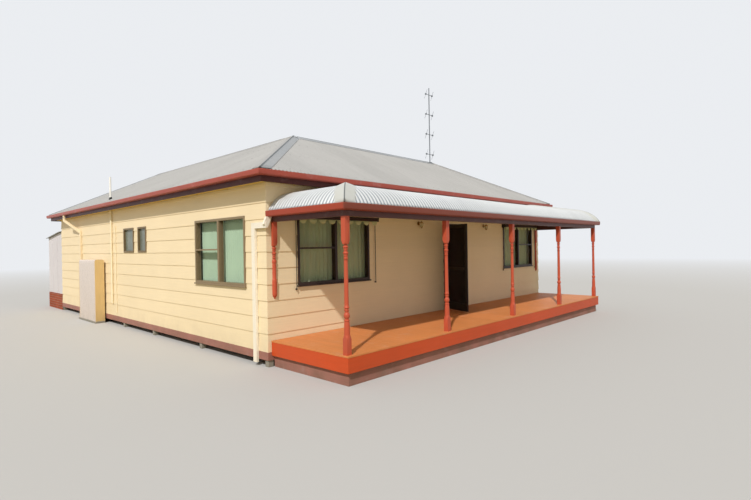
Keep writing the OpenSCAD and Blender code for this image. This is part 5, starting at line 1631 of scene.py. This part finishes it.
def make_lean_to():
    """Flat sheet walls with cover strips, a brick base and a corrugated single-slope roof."""
    sizes = bpy.context.scene.beach_house_sizes
    dress("lean_to_walls", "lean_to")
    low, high = cad_box("lean_to_base")
    wall_low, wall_high = cad_box("lean_to_walls")
    chance = np.random.default_rng(5)
    front = low[1] + 0.002
    runs = [((low[0], high[1]), (low[0], front)), ((high[0], high[1]), (low[0] + BRICK_WALL, high[1])),
            ((high[0], front), (high[0], high[1] - BRICK_WALL))]
    bricks = [brick_courses(a, b, low[2], high[2] - 0.002, sizes, chance) for a, b in runs]
    place("Base_bricks", joined(bricks), "brick", replaces="lean_to_base", bevel=0.003)
    inset, t = 0.006, BRICK_WALL - 0.008
    mortar = boxes(
        [(low[0] + inset, front, low[2]), (high[0] - t, front, low[2]),
         (low[0] + inset, high[1] - t, low[2])],
        [(low[0] + t, high[1] - inset, high[2] - 0.004), (high[0] - inset, high[1] - t, high[2] - 0.004),
         (high[0] - inset, high[1] - inset, high[2] - 0.004)])
    place("Base_mortar", mortar, "mortar", replaces="lean_to_base")
    strips = []
    roof_low, roof_high = cad_box("lean_to_roof")
    fall = (roof_high[2] - roof_low[2] - 0.025) / (roof_high[1] - roof_low[1])
    foot = high[2] + 0.004
    for y in np.arange(wall_low[1] + 0.03, wall_high[1], STRIP_PITCH):
        top = roof_high[2] - UNDER_ROOF - fall * (y + STRIP_HALF - roof_low[1])
        for x, way in ((wall_low[0], -1), (wall_high[0], 1)):
            a, b = sorted((x, x + way * STRIP_OUT))
            strips.append(boxes((a, y - STRIP_HALF, foot), (b, y + STRIP_HALF, top)))
    top = roof_high[2] - UNDER_ROOF - fall * (wall_high[1] + 0.01 - roof_low[1])
    for x in np.arange(wall_low[0] + 0.02, wall_high[0], STRIP_PITCH):
        strips.append(boxes((x - STRIP_HALF, wall_high[1], foot),
                            (x + STRIP_HALF, wall_high[1] + STRIP_OUT, top)))
    place("Lean_to_strips", joined(strips), "lean_to", bevel=0.001)
    x = np.arange(roof_low[0], roof_high[0], sizes.wave / STEPS_A_WAVE)
    y = np.array([roof_low[1] + 0.002, roof_high[1]])
    wave = -0.009 + sizes.wave_height / 2 * np.cos(2 * math.pi * x / sizes.wave)
    z = roof_high[2] - fall * (y - roof_low[1])
    points = stacked(x[:, None], y[None], z[None] + wave[:, None])
    uv = stacked(x[:, None], y[None])
    place("Lean_to_sheets", grid(points, uv=uv), "lean_to_roof", replaces="lean_to_roof",
          smooth=60, thick=SHEET_METAL)


# Properties

def metres(name, value, text):
    """A length property."""
    return FloatProperty(name=name, description=text, default=value, min=0.0, unit="LENGTH", precision=4)


def paint_colour(name, code, text):
    """A colour property whose default is an sRGB code."""
    return FloatVectorProperty(name=name, description=text, subtype="COLOR", size=3, min=0.0, max=1.0,
                               default=colour(code))


class BeachHouseSizes(bpy.types.PropertyGroup):
    """Sizes of the small repeated pieces."""
    exposure: metres("Board exposure", 0.28, "Height of a wall board between laps")
    first_lap: metres("First lap", 0.115, "Height of the lowest lap above the floor")
    lap_depth: metres("Lap depth", 0.012, "How far a board stands proud of the one above")
    board_thickness: metres("Board thickness", 0.0195, "Depth of the board layer")
    wave: metres("Sheet wave", 0.076, "Distance between crests of the roof sheet")
    wave_height: metres("Wave height", 0.015, "Height of a crest over a trough")
    sheet_room: metres("Sheet room", 0.018, "Depth that the sheet takes up below the roof plane")
    screw_row: metres("Screw rows", 0.9, "Distance between rows of roof screws")
    capping_width: metres("Capping width", 0.3, "Width of the capping in plan")
    capping_roll: metres("Capping roll", 0.018, "Radius of the roll along the capping")
    flashing_width: metres("Flashing width", 0.165, "Width of the verandah hip flashing on each side")
    flashing_peak: metres("Flashing peak", 0.036, "Height of the fold of the hip flashing over the sheets")
    gutter_metal: metres("Gutter metal", 0.0025, "Thickness of the gutters")
    deck_board: metres("Deck board", 0.088, "Width of a deck board")
    scallop: metres("Scallop", 0.23, "Width of a scallop of the awnings")
    slat_width: metres("Slat width", 0.089, "Width of a blind slat")
    slat_pitch: metres("Slat pitch", 0.077, "Distance between blind slats")
    scallop_share: FloatProperty(name="Scallop share", default=0.72, min=0.1, max=0.95,
                                 description="Share of the valance's room that its scallops take")
    brick_length: metres("Brick length", 0.23, "Length of a brick")
    brick_height: metres("Brick height", 0.076, "Height of a brick")
    brick_joint: metres("Brick joint", 0.01, "Width of a mortar joint")


class BeachHouseColours(bpy.types.PropertyGroup):
    """Colours of paint, metal, glass and cloth."""
    boards: paint_colour("Boards", "#F5E2BE", "Wall boards")
    # Painted shade: a cream darkened and yellowed for the shade under the eaves and the verandah roof.
    shaded_soffit: paint_colour("Soffit", "#E4C068", "Eaves lining and verandah rafters")
    lining: paint_colour("Lining", "#D9D0BC", "Inside of the walls")
    fascia: paint_colour("Fascia", "#50241F", "Main fascia")
    beam: paint_colour("Beam", "#5C3A38", "Verandah beam")
    gutter: paint_colour("Gutter", "#AC5244", "Gutters and front door")
    v_gutter: paint_colour("Verandah gutter", "#A8442E", "Gutter of the verandah")
    # Painted shade: this darker red stands in for the shade on the gutter's front run, not for weathering.
    v_gutter_shaded_front: paint_colour("Front gutter", "#86402F", "Weathered front run of the verandah's gutter")
    posts: paint_colour("Posts", "#C2583E", "Turned posts")
    deck: paint_colour("Deck", "#D68850", "Deck boards")
    deck_edge: paint_colour("Deck edge", "#CE5228", "Edge board of the deck")
    plinth: paint_colour("Plinth", "#A8746A", "Plinth and base board")
    roof: paint_colour("Roof", "#B0AFAC", "Main roof sheet")
    roof_shade: paint_colour("Roof shade", "#A8A7A4", "Weathered patches of the roof sheet")
    bullnose: paint_colour("Bullnose", "#DADDDE", "Verandah roof sheet")
    bullnose_shade: paint_colour("Bullnose shade", "#CED1D3", "Weathered patches of the verandah sheet")
    capping: paint_colour("Capping", "#A0A4A7", "Ridge and hip capping")
    capping_shade: paint_colour("Capping shade", "#A8A9A9", "Weathered patches of the capping")
    # Painted light: a grey for the capping's wings on one side of the fold, standing in for the light on
    # them.
    capping_lee: paint_colour("Capping lee", "#AAA8A4", "Wings of the capping on the far side of its fold")
    flashing: paint_colour("Flashing", "#CED0CA", "Verandah hip flashing")
    front_frames: paint_colour("Front frames", "#3A2A24", "Front window frames")
    side_frames: paint_colour("Side frame", "#8C7A5E", "Large side window frame")
    small_frames: paint_colour("Small frames", "#7A684A", "Small window frames")
    glass: paint_colour("Glass", "#2A3424", "Clear glass")
    obscure: paint_colour("Obscure glass", "#6C7268", "Obscure glass")
    net: paint_colour("Net", "#C4D2AC", "Net curtains")
    blind: paint_colour("Blind", "#C2DFC3", "Slats of the side window's blind")
    canvas: paint_colour("Canvas", "#3A2624", "Awning canvas")
    trim: paint_colour("Trim", "#D0D2A6", "Edging of the awnings")
    door_frame: paint_colour("Door frame", "#3B2820", "Door frame")
    screen: paint_colour("Screen door", "#241D1A", "Frame of the screen door")
    brass: paint_colour("Brass", "#B08D4A", "Lanterns and fittings")
    heater: paint_colour("Heater", "#DED2CC", "Casing of the water heater")
    # Painted shade in part: a tan that is partly the ends' own paint and partly painted shade for the end
    # that faces the front.
    heater_end_tan_and_shade: paint_colour("Heater ends", "#E0C28A", "End plates of the water heater")
    pipe: paint_colour("Pipe", "#FAEDCE", "Pipes on the left wall")
    downpipe: paint_colour("Downpipe", "#F8F0E0", "Downpipes")
    lean_to: paint_colour("Lean-to", "#D9D5DA", "Lean-to sheets")
    brick: paint_colour("Brick", "#9E5039", "Bricks of the lean-to's base")


class BeachHouseStage(bpy.types.PropertyGroup):
    """Light and background."""
    world_light: FloatProperty(name="Surroundings", description="Strength of the even light", default=0.48)
    lamp_light: FloatProperty(name="Lamp", description="Strength of the soft lamp", default=2.8)
    lamp_width: FloatProperty(name="Lamp width", description="Angle that the soft lamp fills in the sky",
                              default=math.radians(1.6), subtype="ANGLE")
    lamp_height: FloatProperty(name="Lamp height", description="Angle of the soft lamp above the floor",
                               default=math.radians(44.5), subtype="ANGLE")
    backdrop: FloatVectorProperty(name="Backdrop", description="Colour of the background", subtype="COLOR",
                                  size=3, default=(0.83, 0.85, 0.88))
    floor: FloatVectorProperty(name="Floor", description="Colour of the floor", subtype="COLOR", size=3,
                               default=(0.56, 0.56, 0.55))
    bounce: FloatVectorProperty(name="Floor bounce", subtype="COLOR", size=3, default=(0.42, 0.38, 0.22),
                                description="Colour of the light that the floor throws up")


# Operators, one for each group of pieces

class BEACHHOUSE_OT_stage(bpy.types.Operator):
    """Sets the camera, the light and the floor"""
    bl_idname = "beach_house.stage"
    bl_label = "Stage"
    bl_options = {"REGISTER", "UNDO"}

    def execute(self, context):
        settings = context.scene.beach_house_stage
        set_camera()
        set_light(settings)
        set_floor(settings)
        context.scene.view_settings.view_transform = "Standard"
        return {"FINISHED"}


class BEACHHOUSE_OT_walls(bpy.types.Operator):
    """Makes the wall boards and dresses walls, floor, ceiling and stumps"""
    bl_idname = "beach_house.walls"
    bl_label = "Walls"
    bl_options = {"REGISTER", "UNDO"}

    def execute(self, context):
        make_walls()
        return {"FINISHED"}


class BEACHHOUSE_OT_main_roof(bpy.types.Operator):
    """Makes the main roof with its sheets, cappings, screws, gutter and eaves"""
    bl_idname = "beach_house.main_roof"
    bl_label = "Main roof"
    bl_options = {"REGISTER", "UNDO"}

    def execute(self, context):
        make_main_roof()
        return {"FINISHED"}


class BEACHHOUSE_OT_verandah_roof(bpy.types.Operator):
    """Makes the bullnose roof with its flashings and gutter"""
    bl_idname = "beach_house.verandah_roof"
    bl_label = "Verandah roof"
    bl_options = {"REGISTER", "UNDO"}

    def execute(self, context):
        make_verandah_roof()
        return {"FINISHED"}


class BEACHHOUSE_OT_posts(bpy.types.Operator):
    """Makes the turned posts"""
    bl_idname = "beach_house.posts"
    bl_label = "Posts"
    bl_options = {"REGISTER", "UNDO"}

    def execute(self, context):
        make_posts()
        return {"FINISHED"}


class BEACHHOUSE_OT_deck(bpy.types.Operator):
    """Makes the deck boards and dresses the deck's edge and plinth"""
    bl_idname = "beach_house.deck"
    bl_label = "Deck"
    bl_options = {"REGISTER", "UNDO"}

    def execute(self, context):
        make_deck()
        return {"FINISHED"}


class BEACHHOUSE_OT_windows(bpy.types.Operator):
    """Dresses the window frames and the glass"""
    bl_idname = "beach_house.windows"
    bl_label = "Windows"
    bl_options = {"REGISTER", "UNDO"}

    def execute(self, context):
        make_windows()
        return {"FINISHED"}


class BEACHHOUSE_OT_awnings(bpy.types.Operator):
    """Makes the rolled awnings"""
    bl_idname = "beach_house.awnings"
    bl_label = "Awnings"
    bl_options = {"REGISTER", "UNDO"}

    def execute(self, context):
        make_awnings()
        return {"FINISHED"}


class BEACHHOUSE_OT_curtains(bpy.types.Operator):
    """Makes the curtains and the blind"""
    bl_idname = "beach_house.curtains"
    bl_label = "Curtains"
    bl_options = {"REGISTER", "UNDO"}

    def execute(self, context):
        make_curtains()
        return {"FINISHED"}


class BEACHHOUSE_OT_doorway(bpy.types.Operator):
    """Dresses the doorway and makes the wall lanterns"""
    bl_idname = "beach_house.doorway"
    bl_label = "Doorway"
    bl_options = {"REGISTER", "UNDO"}

    def execute(self, context):
        make_doorway()
        make_lamps()
        return {"FINISHED"}


class BEACHHOUSE_OT_services(bpy.types.Operator):
    """Makes pipes, water heater, downpipes and aerial"""
    bl_idname = "beach_house.services"
    bl_label = "Services"
    bl_options = {"REGISTER", "UNDO"}

    def execute(self, context):
        make_services()
        make_aerial()
        return {"FINISHED"}


class BEACHHOUSE_OT_lean_to(bpy.types.Operator):
    """Makes the lean-to's strips, bricks and roof sheets"""
    bl_idname = "beach_house.lean_to"
    bl_label = "Lean-to"
    bl_options = {"REGISTER", "UNDO"}

    def execute(self, context):
        make_lean_to()
        return {"FINISHED"}


MAKERS = [
    BEACHHOUSE_OT_stage, BEACHHOUSE_OT_walls, BEACHHOUSE_OT_main_roof, BEACHHOUSE_OT_verandah_roof,
    BEACHHOUSE_OT_posts, BEACHHOUSE_OT_deck, BEACHHOUSE_OT_windows, BEACHHOUSE_OT_awnings,
    BEACHHOUSE_OT_curtains, BEACHHOUSE_OT_doorway, BEACHHOUSE_OT_services, BEACHHOUSE_OT_lean_to,
]


class BEACHHOUSE_PT_panel(bpy.types.Panel):
    """Lists the groups of pieces, with their sizes and colours"""
    bl_idname = "BEACHHOUSE_PT_panel"
    bl_label = "Beach house"
    bl_space_type = "VIEW_3D"
    bl_region_type = "UI"
    bl_category = "Beach house"

    def draw(self, context):
        layout = self.layout
        for maker in MAKERS:
            layout.operator(maker.bl_idname)
        for settings in (context.scene.beach_house_sizes, context.scene.beach_house_colours,
                         context.scene.beach_house_stage):
            box = layout.box()
            for name in settings.__annotations__:
                box.prop(settings, name)


GROUPS = {"beach_house_sizes": BeachHouseSizes, "beach_house_colours": BeachHouseColours,
          "beach_house_stage": BeachHouseStage}
CLASSES = [*GROUPS.values(), *MAKERS, BEACHHOUSE_PT_panel]


def register():
    """Registers the classes and hangs the settings on the scene."""
    for item in CLASSES:
        bpy.utils.register_class(item)
    for name, group in GROUPS.items():
        setattr(bpy.types.Scene, name, PointerProperty(type=group))


def unregister():
    """Takes the settings and the classes away again."""
    for name in GROUPS:
        delattr(bpy.types.Scene, name)
    for item in reversed(CLASSES):
        bpy.utils.unregister_class(item)


def main():
    """Makes everything in order."""
    register()
    for maker in MAKERS:
        group, name = maker.bl_idname.split(".")
        getattr(getattr(bpy.ops, group), name)()
    bpy.context.view_layer.update()


if __name__ == "__main__":
    main()
